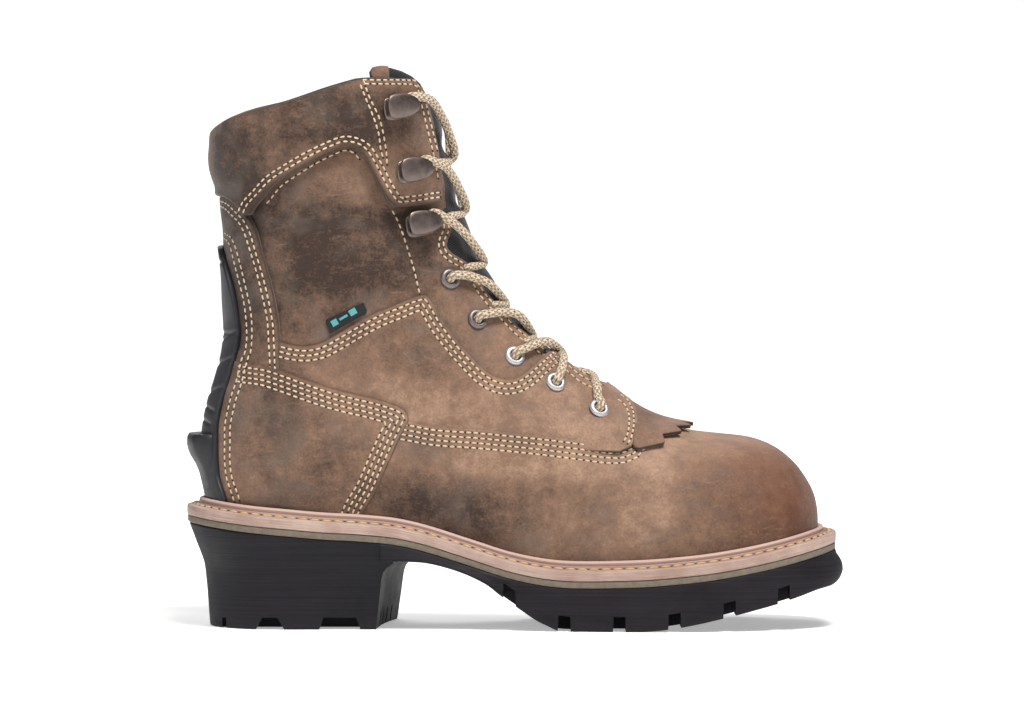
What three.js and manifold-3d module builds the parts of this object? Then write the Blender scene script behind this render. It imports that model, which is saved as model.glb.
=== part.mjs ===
// Logger boot for the right foot: lasted leather upper, storm welt, lugged sole and heel.
// Millimetres. X runs to the toe, Y to the inner (medial) side, Z up, with the floor at zero.
import * as THREE from 'three';
import { mergeVertices } from 'three/addons/utils/BufferGeometryUtils.js';
import Module from 'manifold-3d';

const wasm = await Module();
wasm.setup();

// Driving sizes
const length = 310.4;
const height = 264;
const ballWidth = 97;
const clearance = 0.3;
const seatGap = 0.5;
const leather = 2.4;
const vampRise = 2.1;
const quarterLeather = 1.5;
const counterThickness = 2.7;
const strapThickness = 2.1;
const collarThickness = 4.3;
const guardThickness = 2;
const guardSeat = 3.3;
const tongueThickness = 5;
const kiltieThickness = 1.7;
const insoleThickness = 3;
const midsoleThickness = 3;
const weltReach = 8.7;
const weltEdge = 4.7;
const weltSlope = 1.5;
const weltRound = 0.6;
const beadHeight = 2.8;
const beadWidth = 3.1;
const beadRound = 0.9;
const beadSeat = 4 * clearance;
const flangeWidth = 13;
const lugDepth = 7;
const lugPitch = 25.4;
const lugGap = 7.5;
const lugCount = 6;
const channelInset = 9;
const channelWidth = 5;
const laceDiameter = 4.5;
const eyeletOuter = 9.5;
const eyeletHole = 4.8;
const rimHeight = 1;
const barrelShort = 1.8;
const hookLength = 14;
const hookWidth = 9.5;
const hookPlate = 1.2;
const tagThickness = 1;

// Colours of the finishes
const colours = {
  leather: 0x8b6f58,
  rubber: 0x2f2d31,
  olive: 0x8b8471,
  welt: 0xc9a79b,
  cloth: 0x26262a,
  insole: 0x55504a,
  steel: 0xa6a6ad,
  gunmetal: 0x6b6064,
  lace: 0xcbb79d,
  tag: 0x1b1e22,
};

// Sections of the last, from toe to collar. Each plane runs from a front point on the ridge to a
// back point on the bottom or the heel, as shares of length and height. Widths are shares of half
// the ball width from the section's centre line, widest is the share of the way from front to back.
const sectionColumns = [
  'frontX', 'frontZ', 'backX', 'backZ', 'centre', 'lateral', 'medial', 'widest', 'frontRound', 'backRound'];
const sectionRows = [
  [0.956, 0.189, 0.956, 0.189, 0.14, 0.000, 0.000, 0.50, 2.20, 2.6],
  [0.954, 0.212, 0.953, 0.159, 0.14, 0.333, 0.333, 0.60, 2.20, 2.4],
  [0.949, 0.235, 0.947, 0.144, 0.14, 0.500, 0.480, 0.62, 2.20, 2.5],
  [0.938, 0.259, 0.935, 0.133, 0.14, 0.647, 0.598, 0.64, 2.20, 2.6],
  [0.921, 0.285, 0.916, 0.121, 0.13, 0.784, 0.716, 0.66, 2.25, 2.7],
  [0.893, 0.311, 0.883, 0.108, 0.12, 0.902, 0.824, 0.68, 2.30, 2.8],
  [0.857, 0.327, 0.838, 0.095, 0.10, 0.976, 0.898, 0.69, 2.30, 2.9],
  [0.810, 0.334, 0.784, 0.081, 0.07, 1.000, 0.931, 0.69, 2.20, 3.0],
  [0.764, 0.341, 0.726, 0.074, 0.04, 0.996, 0.927, 0.68, 2.10, 3.0],
  [0.719, 0.358, 0.661, 0.070, 0.02, 0.965, 0.878, 0.68, 2.00, 3.0],
  [0.671, 0.389, 0.597, 0.068, 0.01, 0.914, 0.808, 0.68, 2.00, 3.0],
  [0.632, 0.425, 0.532, 0.074, 0.00, 0.855, 0.749, 0.68, 2.10, 3.1],
  [0.581, 0.468, 0.461, 0.106, 0.00, 0.804, 0.714, 0.67, 2.15, 3.2],
  [0.537, 0.514, 0.384, 0.136, 0.00, 0.773, 0.706, 0.65, 2.20, 3.6],
  [0.501, 0.558, 0.300, 0.155, 0.00, 0.761, 0.718, 0.62, 2.20, 4.2],
  [0.474, 0.600, 0.216, 0.163, 0.00, 0.757, 0.729, 0.59, 2.20, 4.6],
  [0.453, 0.640, 0.139, 0.169, 0.00, 0.753, 0.737, 0.56, 2.20, 4.6],
  [0.438, 0.678, 0.084, 0.178, 0.00, 0.749, 0.737, 0.54, 2.20, 4.2],
  [0.427, 0.712, 0.055, 0.205, 0.00, 0.749, 0.737, 0.53, 2.20, 3.2],
  [0.418, 0.742, 0.043, 0.250, 0.00, 0.749, 0.737, 0.52, 2.20, 2.5],
  [0.412, 0.769, 0.039, 0.299, 0.00, 0.749, 0.737, 0.52, 2.20, 2.3],
  [0.407, 0.792, 0.041, 0.345, 0.00, 0.749, 0.737, 0.52, 2.20, 2.2],
  [0.402, 0.814, 0.048, 0.390, 0.00, 0.749, 0.737, 0.52, 2.20, 2.2],
  [0.397, 0.837, 0.060, 0.436, 0.00, 0.751, 0.741, 0.52, 2.20, 2.2],
  [0.393, 0.858, 0.070, 0.481, 0.00, 0.757, 0.749, 0.52, 2.20, 2.2],
  [0.389, 0.879, 0.074, 0.527, 0.00, 0.767, 0.761, 0.52, 2.20, 2.2],
  [0.385, 0.898, 0.072, 0.576, 0.00, 0.778, 0.775, 0.51, 2.20, 2.2],
  [0.381, 0.917, 0.070, 0.629, 0.00, 0.792, 0.788, 0.51, 2.20, 2.2],
  [0.377, 0.934, 0.065, 0.682, 0.00, 0.808, 0.804, 0.51, 2.20, 2.2],
  [0.373, 0.953, 0.061, 0.735, 0.00, 0.824, 0.820, 0.50, 2.20, 2.2],
  [0.369, 0.972, 0.057, 0.788, 0.00, 0.835, 0.831, 0.50, 2.20, 2.2],
  [0.364, 0.992, 0.053, 0.837, 0.00, 0.843, 0.839, 0.50, 2.20, 2.2],
  [0.356, 1.023, 0.048, 0.898, 0.00, 0.847, 0.843, 0.50, 2.20, 2.2],
  [0.348, 1.057, 0.043, 0.962, 0.00, 0.847, 0.843, 0.50, 2.20, 2.2],
];

// Side outlines, each row a share of the length from the heel and a share of the height
const weltUnderside = [
  [0.000, 0.199], [0.017, 0.197], [0.097, 0.185], [0.168, 0.177], [0.216, 0.172], [0.264, 0.169],
  [0.312, 0.164], [0.345, 0.157], [0.374, 0.148], [0.401, 0.138], [0.443, 0.122], [0.486, 0.106],
  [0.528, 0.095], [0.570, 0.089], [0.611, 0.088], [0.653, 0.089], [0.696, 0.091], [0.738, 0.095],
  [0.780, 0.100], [0.821, 0.107], [0.863, 0.116], [0.906, 0.127], [0.948, 0.139], [1.000, 0.154]];
const treadUnderside = [
  [0.337, 0.121], [0.374, 0.117], [0.419, 0.102], [0.456, 0.082], [0.482, 0.059], [0.508, 0.038],
  [0.531, 0.020], [0.550, 0.009], [0.571, 0.000], [0.693, 0.000], [0.732, 0.005], [0.771, 0.013],
  [0.809, 0.023], [0.848, 0.034], [0.888, 0.046], [0.925, 0.059], [0.954, 0.070], [0.980, 0.077],
  [0.993, 0.088], [1.000, 0.100]];
const heelBreast = [
  [-0.500, -0.004], [0.306, -0.004], [0.312, 0.051], [0.316, 0.088], [0.322, 0.104], [0.337, 0.121],
  [0.337, 0.227], [-0.500, 0.227]];
const collarTop = [
  [-0.100, 0.845], [0.038, 0.875], [0.047, 0.896], [0.073, 0.914], [0.103, 0.924], [0.131, 0.931],
  [0.154, 0.938], [0.189, 0.952], [0.212, 0.961], [0.247, 0.973], [0.267, 0.978], [0.307, 0.976],
  [0.356, 0.973], [1.100, 0.973]];
const collarEdge = [
  [-0.100, 0.767], [0.056, 0.767], [0.076, 0.759], [0.092, 0.741], [0.105, 0.726], [0.114, 0.744],
  [0.128, 0.763], [0.146, 0.786], [0.174, 0.808], [0.201, 0.827], [0.229, 0.843], [0.245, 0.850],
  [0.261, 0.847], [0.272, 0.835], [0.286, 0.805], [0.300, 0.773], [0.317, 0.747], [0.339, 0.745],
  [0.410, 0.754], [0.500, 0.754]];
const strapEdge = [
  [-0.100, 0.765], [0.049, 0.765], [0.063, 0.765], [0.076, 0.759], [0.092, 0.741], [0.104, 0.725],
  [0.114, 0.701], [0.124, 0.665], [0.132, 0.632], [0.140, 0.594], [0.146, 0.557], [0.149, 0.519],
  [0.151, 0.400], [-0.100, 0.400]];
const guardEdge = [
  [-0.100, 0.683], [0.059, 0.683], [0.067, 0.680], [0.075, 0.651], [0.085, 0.609], [0.093, 0.561],
  [0.096, 0.526], [0.094, 0.495], [0.089, 0.471], [0.081, 0.438], [0.072, 0.405], [0.064, 0.362],
  [0.063, 0.334], [0.063, 0.300], [0.066, 0.266], [0.072, 0.243], [0.078, 0.228]];
const counterEdge = [
  [-0.100, 0.490], [0.097, 0.469], [0.130, 0.464], [0.162, 0.452], [0.194, 0.438], [0.227, 0.425],
  [0.259, 0.415], [0.292, 0.406], [0.324, 0.394], [0.337, 0.384], [0.342, 0.371], [0.337, 0.356],
  [0.324, 0.325], [0.308, 0.283], [0.292, 0.241], [0.275, 0.209]];
const quarterTop = [
  [0.152, 0.506], [0.168, 0.501], [0.188, 0.499], [0.207, 0.503], [0.226, 0.514], [0.259, 0.537],
  [0.292, 0.558], [0.324, 0.573], [0.342, 0.582], [0.363, 0.589], [0.373, 0.582], [0.393, 0.541],
  [0.419, 0.501], [0.442, 0.471], [0.459, 0.452], [0.476, 0.441], [0.494, 0.439], [0.511, 0.447],
  [0.528, 0.464], [0.552, 0.489], [0.600, 0.560], [0.670, 0.430]];
const quarterFront = [
  [0.655, 0.408], [0.667, 0.398], [0.676, 0.383], [0.681, 0.367], [0.682, 0.345], [0.679, 0.326],
  [0.673, 0.313]];
const vampLap = [
  [0.613, 0.330], [0.556, 0.339], [0.499, 0.347], [0.442, 0.354], [0.385, 0.359], [0.347, 0.367]];
const quarterBack = [[0.300, 0.300], [0.080, 0.300], [0.080, 0.510]];
const vampFront = [[1.100, 0.500], [0.655, 0.500], [0.655, 0.300]];
const vampHeel = [0.220, 0.180];
const tongueTop = [
  [0.640, 0.360], [0.200, 0.360], [0.200, 0.900], [0.267, 0.960], [0.285, 0.990], [0.310, 0.999],
  [0.340, 0.994], [0.358, 0.978], [0.370, 0.955], [0.400, 0.900], [0.640, 0.900]];
const tagCorners = [[0.217, 0.545], [0.274, 0.576], [0.280, 0.559], [0.224, 0.520]];
const eyeletPlaces = [[0.403, 0.617], [0.445, 0.546], [0.501, 0.481], [0.562, 0.431], [0.629, 0.389]];
const hookPlaces = [[0.334, 0.926], [0.348, 0.813], [0.363, 0.716]];

// Shares of the length at which the guard, the counter and the vamp end on the bead
const footEnds = { guard: 0.07, counter: 0.265, vamp: 0.21 };

// Throat opening: height share along the ridge, half width as a share of half the ball width
const throatRows = [
  [0.383, 0.04], [0.388, 0.18], [0.400, 0.26], [0.430, 0.29], [0.480, 0.32], [0.560, 0.35], [0.640, 0.38],
  [0.690, 0.44], [0.720, 0.49], [0.800, 0.51], [1.050, 0.54]];

// Heel block: share of the black layer's height, reach beyond the feather line at back and sides
const heelRows = [
  [1.00, 7.4, 8.2], [0.82, 4.4, 6.8], [0.73, 2.6, 5.8], [0.62, 0.7, 4.8], [0.50, -0.1, 4.0],
  [0.30, -1.0, 3.0], [0.00, -2.0, 2.0]];

// Forefoot rubber: reach beyond the welt, depth under the midsole
const foreRows = [[-0.4, 0], [0.3, 4], [1.7, 9]];

// Notches in the heel's sides: place, half width at the floor and at the top
const notchColumns = ['at', 'bottom', 'top'];
const heelNotches = [[0.123, 0.021, 0.013], [0.236, 0.029, 0.024]];
const heelNotchHeight = 5.6;

// Kick-off ledge of the guard: reach beyond the last, share of the height
const ledgeRows = [
  [3.6, 0.335], [11.2, 0.334], [11.6, 0.320], [9.9, 0.304], [7.6, 0.290], [6.0, 0.275], [5.5, 0.252],
  [3.6, 0.245]];

// Bounds that lie outside the boot on every side
const underFloor = -20;
const halfSpan = 90;

const lerp = THREE.MathUtils.lerp;
const clamp = THREE.MathUtils.clamp;
const place = ([x, z]) => [(x - 0.5) * length, z * height];
const halfBall = ballWidth / 2;

// Reads a table of [place, value] rows at any place between them
function readRows(rows, at) {
  let i = 0;
  while (i < rows.length - 2 && rows[i + 1][0] < at) i += 1;
  const share = clamp((at - rows[i][0]) / (rows[i + 1][0] - rows[i][0]), 0, 1);
  return lerp(rows[i][1], rows[i + 1][1], share);
}

// The last as a function
const sectionCache = new Map();

function smoothColumn(column, u) {
  const last = sectionRows.length - 1;
  const at = clamp(u, 0, 1) * last;
  const i = Math.min(Math.floor(at), last - 1);
  const t = at - i;
  const row = (k) => sectionRows[clamp(k, 0, last)][column];
  const slopeA = i === 0 ? row(1) - row(0) : (row(i + 1) - row(i - 1)) / 2;
  const slopeB = i === last - 1 ? row(last) - row(last - 1) : (row(i + 2) - row(i)) / 2;
  const t2 = t * t;
  const t3 = t2 * t;
  return row(i) * (2 * t3 - 3 * t2 + 1) + slopeA * (t3 - 2 * t2 + t)
    + row(i + 1) * (3 * t2 - 2 * t3) + slopeB * (t3 - t2);
}

// One side of a section as points from the ridge to the back, with the way walked at each
function sideCurve(s, side) {
  const steps = 48;
  const half = (side < 0 ? s.lateral : s.medial) * halfBall;
  const [frontX, frontZ] = place([s.frontX, s.frontZ]);
  const [backX, backZ] = place([s.backX, s.backZ]);
  const points = [];
  const walked = [0];
  for (let i = 0; i <= steps; i += 1) {
    const angle = Math.PI * i / steps;
    const inFront = i < steps / 2;
    const power = 2 / (inFront ? s.frontRound : s.backRound);
    const width = half * Math.max(Math.sin(angle), 0) ** power;
    const reach = Math.abs(Math.cos(angle)) ** power;
    const along = inFront ? s.widest * (1 - reach) : s.widest + (1 - s.widest) * reach;
    points.push(new THREE.Vector3(
      lerp(frontX, backX, along), s.centre * halfBall + side * width, lerp(frontZ, backZ, along)));
    if (i > 0) walked.push(walked[i - 1] + points[i].distanceTo(points[i - 1]));
  }
  return { points, walked };
}

function section(u) {
  const key = Math.round(u * 1e6);
  if (!sectionCache.has(key)) {
    const s = {};
    sectionColumns.forEach((name, column) => { s[name] = smoothColumn(column, u); });
    s.lateral = Math.max(s.lateral, 0);
    s.medial = Math.max(s.medial, 0);
    sectionCache.set(key, { lateral: sideCurve(s, -1), medial: sideCurve(s, 1) });
  }
  return sectionCache.get(key);
}

// A point of the last: u from toe to collar, v from the ridge round to the back, negative outside
function lastPoint(u, v) {
  let around = v;
  if (around > 1) around -= 2;
  if (around < -1) around += 2;
  const { points, walked } = around < 0 ? section(u).lateral : section(u).medial;
  const way = Math.abs(around) * walked[walked.length - 1];
  let i = 0;
  while (i < walked.length - 2 && walked[i + 1] < way) i += 1;
  const span = walked[i + 1] - walked[i];
  return points[i].clone().lerp(points[i + 1], span > 0 ? (way - walked[i]) / span : 0);
}

function lastNormal(u, v) {
  if (u < 0.002) return new THREE.Vector3(1, 0, 0);
  const du = 0.004;
  const dv = 0.02;
  const along = lastPoint(Math.min(u + du, 1), v).sub(lastPoint(u - Math.min(du, u / 2), v));
  const around = lastPoint(u, v + dv).sub(lastPoint(u, v - dv));
  return around.cross(along).normalize();
}

const formPoint = (u, v, offset) => lastPoint(u, v).addScaledVector(lastNormal(u, v), offset);

// Solids from grids of points and from three.js geometry
function toSolid(points, triangles) {
  let volume = 0;
  for (const [a, b, c] of triangles) {
    volume += points[a].dot(points[b].clone().cross(points[c]));
  }
  const turned = volume < 0 ? triangles.map(([a, b, c]) => [a, c, b]) : triangles;
  return new wasm.Manifold(new wasm.Mesh({
    numProp: 3,
    vertProperties: Float32Array.from(points.flatMap((p) => [p.x, p.y, p.z])),
    triVerts: Uint32Array.from(turned.flat()),
  }));
}

function geometrySolid(geometry) {
  geometry.deleteAttribute('normal');
  geometry.deleteAttribute('uv');
  const merged = mergeVertices(geometry, 1e-4);
  const position = merged.getAttribute('position');
  const points = [];
  for (let i = 0; i < position.count; i += 1) {
    points.push(new THREE.Vector3().fromBufferAttribute(position, i));
  }
  const index = merged.getIndex().array;
  const triangles = [];
  for (let i = 0; i < index.length; i += 3) {
    const [a, b, c] = [index[i], index[i + 1], index[i + 2]];
    if (a !== b && b !== c && a !== c) triangles.push([a, b, c]);
  }
  return toSolid(points, triangles);
}

// Skins rings of equal count. A ring of one point closes an end, other ends get a fan.
function skin(rings) {
  const points = [];
  const starts = rings.map((ring) => {
    points.push(...ring);
    return points.length - ring.length;
  });
  const triangles = [];
  for (let r = 0; r < rings.length - 1; r += 1) {
    const count = Math.max(rings[r].length, rings[r + 1].length);
    for (let i = 0; i < count; i += 1) {
      const j = (i + 1) % count;
      const lower = rings[r].length === 1 ? [starts[r]] : [starts[r] + i, starts[r] + j];
      const upper = rings[r + 1].length === 1 ? [starts[r + 1]] : [starts[r + 1] + i, starts[r + 1] + j];
      if (lower.length === 2) triangles.push([lower[0], lower[1], upper[0]]);
      if (upper.length === 2) triangles.push([lower[lower.length - 1], upper[1], upper[0]]);
    }
  }
  for (const r of [0, rings.length - 1]) {
    if (rings[r].length > 1) {
      const centre = new THREE.Vector3();
      rings[r].forEach((p) => centre.addScaledVector(p, 1 / rings[r].length));
      points.push(centre);
      rings[r].forEach((p, i) => {
        const a = starts[r] + i;
        const b = starts[r] + (i + 1) % rings[r].length;
        triangles.push(r === 0 ? [b, a, points.length - 1] : [a, b, points.length - 1]);
      });
    }
  }
  return toSolid(points, triangles);
}

// The last grown or shrunk by an offset, as a closed solid
const lastRow = sectionRows.length - 1;
const everyRow = sectionRows.map((row, i) => i).slice(1);
const isHeel = (i) => i > 16 && i < 22;
const isInstep = (i) => i > 7 && i < 17 && i % 2 === 0;
const isShaft = (i) => i > 21 && i % 3 === 0;
const fineRows = everyRow.filter((i) => i < 8 || isInstep(i) || isHeel(i) || isShaft(i));
const fine = { name: 'fine', rows: fineRows, around: 10 };
const coarse = { name: 'coarse', rows: everyRow.filter((i) => i % 3 === 0 || i < 3), around: 9 };
const formCache = new Map();

function form(offset, grid = fine) {
  const key = `${offset.toFixed(3)} ${grid.name}`;
  if (!formCache.has(key)) {
    const rings = [[formPoint(0, 0, offset)]];
    for (const row of grid.rows) {
      const ring = [];
      for (let i = 0; i < 2 * grid.around; i += 1) {
        ring.push(formPoint(row / lastRow, i / grid.around - 1, offset));
      }
      rings.push(ring);
    }
    formCache.set(key, skin(rings));
  }
  return formCache.get(key);
}

const shell = (inner, outer, grid = fine) => form(outer, grid).subtract(form(inner, grid));

// A side outline pushed through the boot's width
function plate(outline, from = -halfSpan, to = halfSpan, lean = 0) {
  const shape = new THREE.Shape(outline.map(([x, z]) => new THREE.Vector2(x, z)));
  const geometry = new THREE.ExtrudeGeometry(shape, { depth: to - from, bevelEnabled: false });
  geometry.rotateX(Math.PI / 2).translate(0, to, 0);
  geometry.applyMatrix4(new THREE.Matrix4().set(1, lean, 0, 0, 0, 1, 0, 0, 0, 0, 1, 0, 0, 0, 0, 1));
  return geometrySolid(geometry);
}

// The same outline grown all round, so that neighbours keep their clearance
function grown(outline, by) {
  const area = outline.reduce((sum, [x, z], i) => {
    const [nextX, nextZ] = outline[(i + 1) % outline.length];
    return sum + x * nextZ - nextX * z;
  }, 0);
  const turn = Math.sign(area);
  return outline.map(([x, z], i) => {
    const [beforeX, beforeZ] = outline[(i + outline.length - 1) % outline.length];
    const [afterX, afterZ] = outline[(i + 1) % outline.length];
    const before = new THREE.Vector2(z - beforeZ, beforeX - x).normalize();
    const after = new THREE.Vector2(afterZ - z, x - afterX).normalize();
    const out = before.add(after).normalize();
    return [x + turn * by * out.x, z + turn * by * out.y];
  });
}

// Levels of the sole along the length
const weltRows = weltUnderside.map(place);
const treadRows = treadUnderside.map(place);
const weltLevel = (x) => readRows(weltRows, x);
const flangeTop = weltEdge + weltSlope;
const beadTop = flangeTop + beadHeight;
const seatLevel = (x) => weltLevel(x) + flangeTop + seatGap;
const levelLine = (rise) => [-0.6 * length, ...weltRows.map(([x]) => x), 0.6 * length]
  .map((x) => [x, weltLevel(x) + rise]);

// Feather line: where the upper meets the welt, as a ring of points with outward directions
const featherSteps = 28;

function featherPoint(u, v) {
  const back = THREE.MathUtils.smoothstep(-lastPoint(u, v).x, 0.22 * length, 0.4 * length);
  return formPoint(u, v, lerp(vampRise, guardSeat + guardThickness, back));
}

function featherSide(side) {
  const above = (u, v = side) => {
    const p = featherPoint(u, v);
    return p.z - seatLevel(p.x) - beadHeight / 2;
  };
  const solve = (low, high, value) => {
    let [a, b] = [low, high];
    for (let i = 0; i < 40; i += 1) {
      const middle = (a + b) / 2;
      if ((value(middle) > 0) === (value(a) > 0)) a = middle; else b = middle;
    }
    return (a + b) / 2;
  };
  const toe = solve(0.004, 0.1, above);
  const heel = solve(0.45, 0.65, above);
  const samples = 160;
  const path = [];
  for (let i = 0; i <= samples; i += 1) {
    const u = lerp(toe, heel, (1 - Math.cos(Math.PI * i / samples)) / 2);
    const meet = i % samples === 0 ? 1 : solve(0.2, 1, (v) => above(u, side * v));
    path.push(featherPoint(u, side * meet));
  }
  const curve = new THREE.CurvePath();
  for (let i = 0; i < samples; i += 1) curve.add(new THREE.LineCurve3(path[i], path[i + 1]));
  return curve.getSpacedPoints(featherSteps);
}

const lateralFeather = featherSide(-1);
const medialFeather = featherSide(1);
const feather = [...lateralFeather, ...medialFeather.slice(1, -1).reverse()];
const featherOut = feather.map((p, i) => {
  const before = feather[(i + feather.length - 1) % feather.length];
  const after = feather[(i + 1) % feather.length];
  return new THREE.Vector2(before.y - after.y, after.x - before.x).normalize();
});

// Rows of [reach, level] carried round the feather line. An open band is lidded at both ends.
function band(rows, isRing) {
  const count = feather.length;
  const points = [];
  for (const [reachAt, level] of rows) {
    feather.forEach((p, i) => {
      const reach = typeof reachAt === 'function' ? reachAt(p.x) : reachAt;
      const x = p.x + featherOut[i].x * reach;
      points.push(new THREE.Vector3(x, p.y + featherOut[i].y * reach, level(x)));
    });
  }
  const triangles = [];
  const turns = isRing ? rows.length : rows.length - 1;
  for (let r = 0; r < turns; r += 1) {
    const below = r * count;
    const above = ((r + 1) % rows.length) * count;
    for (let i = 0; i < count; i += 1) {
      const j = (i + 1) % count;
      triangles.push([below + i, below + j, above + j], [below + i, above + j, above + i]);
    }
  }
  if (!isRing) {
    for (const [start, flip] of [[0, true], [(rows.length - 1) * count, false]]) {
      for (let i = 0; i < count / 2; i += 1) {
        const ladder = [i, i + 1, (count - i - 1) % count, (count - i) % count].map((k) => start + k);
        const faces = [[ladder[0], ladder[1], ladder[2]], [ladder[0], ladder[2], ladder[3]]];
        for (const [a, b, c] of faces) {
          if (a !== b && b !== c && a !== c) triangles.push(flip ? [a, c, b] : [a, b, c]);
        }
      }
    }
  }
  return toSolid(points, triangles);
}

// A strip that follows the ridge, with a half width at each height
function ridgeStrip(rows, outward, inward) {
  const across = (u) => formPoint(u, 0, 0);
  const findRidge = (z) => {
    let [low, high] = [0.1, 1];
    for (let i = 0; i < 40; i += 1) {
      const middle = (low + high) / 2;
      if (across(middle).z < z) low = middle; else high = middle;
    }
    return low;
  };
  return skin(rows.map(([share, half]) => {
    const u = findRidge(share * height);
    const out = lastNormal(u, 0);
    const far = across(u).addScaledVector(out, outward);
    const near = across(u).addScaledVector(out, -inward);
    const width = half * halfBall;
    return [[far, -1], [near, -1], [near, 1], [far, 1]].map(
      ([p, side]) => new THREE.Vector3(p.x, p.y + side * width, p.z));
  }));
}

// The object and its pieces
const boot = new THREE.Group();
boot.name = 'logger_boot';

function addPiece(name, solid, colour, roughness = 0.8, metalness = 0) {
  const mesh = solid.getMesh();
  const geometry = new THREE.BufferGeometry();
  geometry.setAttribute('position', new THREE.BufferAttribute(mesh.vertProperties, 3));
  geometry.setIndex(new THREE.BufferAttribute(mesh.triVerts, 1));
  geometry.computeVertexNormals();
  const finish = new THREE.MeshStandardMaterial({ color: colour, roughness, metalness });
  const piece = new THREE.Mesh(geometry, finish);
  piece.name = name;
  boot.add(piece);
}

// Sole: welt ring, midsole with its raised middle, and the rubber with heel and lugs
const rise = (amount) => (x) => weltLevel(x) + amount;
addPiece('welt', band([
  [weltReach, rise(0)],
  [weltReach, rise(weltEdge - weltRound)],
  [weltReach - weltRound, rise(weltEdge)],
  [beadWidth + weltRound, rise(flangeTop)],
  [beadWidth, rise(beadTop - beadRound)],
  [beadWidth - beadRound, rise(beadTop)],
  [beadSeat, rise(beadTop)],
  [beadSeat, rise(flangeTop)],
  [-flangeWidth, rise(flangeTop)],
  [-flangeWidth, rise(0)],
], true), colours.welt, 0.7);

const midsoleTop = -clearance;
const rubberTop = midsoleTop - midsoleThickness - clearance;
addPiece('midsole', band([
  [weltReach - clearance, rise(rubberTop + clearance)],
  [weltReach - clearance, rise(midsoleTop)],
  [-flangeWidth - clearance, rise(midsoleTop)],
  [-flangeWidth - clearance, rise(flangeTop)],
], false), colours.olive);

// Cuts the same outline into the outer and the inner side of the sole
function bothSides(outline, inner) {
  return plate(outline, -halfSpan, -inner * halfBall).add(plate(outline, inner * halfBall, halfSpan));
}

// Channel along the edge, notches through it and short sipes between them, under the forefoot
function makeChannels() {
  const channelEnd = -channelInset - channelWidth;
  let channels = band([
    [-channelInset, () => underFloor], [-channelInset, () => height / 3],
    [channelEnd, () => height / 3], [channelEnd, () => underFloor]], true);
  const upright = (x, bottom, top) => [
    [x - bottom / 2, underFloor], [x + bottom / 2, underFloor], [x + top / 2, 60], [x - top / 2, 60]];
  const firstNotch = -0.0075 * length;
  const draft = 2;
  for (let i = 0; i < lugCount; i += 1) {
    const x = firstNotch + i * lugPitch;
    channels = channels.add(bothSides(upright(x, lugGap, lugGap - draft), 0.74));
    channels = channels.add(
      plate(upright(x + lugPitch / 2, channelWidth, channelWidth), -0.61 * halfBall, 0.61 * halfBall));
  }
  return channels;
}

function makeOutsole() {
  const rubberLevel = rise(rubberTop);
  const backness = (x) => THREE.MathUtils.smoothstep(-x, 0.36 * length, 0.45 * length);
  const heelPrint = band(heelRows.map(([share, back, side]) => [
    (x) => lerp(side, back, backness(x)), (x) => rubberLevel(x) * share]), false);
  const breastLean = 0.11;
  const heel = heelPrint.intersect(plate(heelBreast.map(place), -halfSpan, halfSpan, breastLean));
  const forePrint = band([
    ...foreRows.map(([beyond, depth]) => [weltReach + beyond, rise(rubberTop - depth)]),
    [weltReach, () => -1],
  ], false);
  const behind = -0.21 * length;
  const foreSide = [[behind, treadRows[0][1]], ...treadRows, [length, height / 2], [behind, height / 2]];
  const fore = forePrint.intersect(plate(foreSide));
  const roof = treadRows.slice(3).map(([x, z]) => [x, z + lugDepth]).reverse();
  const grooveZone = plate([
    [roof.at(-1)[0], underFloor], [length, underFloor], [length, roof[0][1]], ...roof]);
  const notches = heelNotches.map((row) => {
    const { at, bottom, top } = Object.fromEntries(notchColumns.map((name, i) => [name, row[i]]));
    return bothSides([
      [at - bottom, -0.004], [at + bottom, -0.004],
      [at + top, heelNotchHeight / height], [at - top, heelNotchHeight / height]].map(place), 0.45);
  });
  return notches.reduce((rest, notch) => rest.subtract(notch),
    heel.add(fore).subtract(makeChannels().intersect(grooveZone)));
}

addPiece('outsole', makeOutsole(), colours.rubber, 0.75);

const insoleZone = plate([...levelLine(flangeTop + seatGap),
  ...levelLine(flangeTop + seatGap + insoleThickness).reverse()]);
addPiece('insole', form(-leather - clearance, coarse).intersect(insoleZone), colours.insole, 0.9);

// Regions of the leather, as seen from the side
const collarLine = collarTop.map(place).reverse();
const lineBehind = (rise, share) => levelLine(rise).filter(([x]) => x < (share - 0.5) * length).reverse();
const beadLine = beadTop + seatGap;
const upperRegion = [...levelLine(flangeTop + seatGap), ...collarLine];
const counterRegion = [...counterEdge.map(place), ...lineBehind(beadLine, footEnds.counter)];
const strapRegion = strapEdge.map(place);
const collarRegion = [...collarEdge.map(place), ...collarLine];
const quarterRegion = [...quarterTop, ...quarterFront, ...vampLap, ...quarterBack].map(place);
const guardRegion = [...guardEdge.map(place), ...lineBehind(beadLine, footEnds.guard)];
const vampRegion = [...levelLine(underFloor), ...[...vampFront, ...vampLap, vampHeel].map(place),
  ...lineBehind(beadTop, footEnds.vamp)];

const throat = ridgeStrip(throatRows, 30, 26);
const counterBay = plate(grown(counterRegion, clearance));
const strapBay = plate(grown(strapRegion, clearance));
const quarterBay = plate(grown(quarterRegion, clearance));
const quarterTopOut = clearance + quarterLeather;

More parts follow.
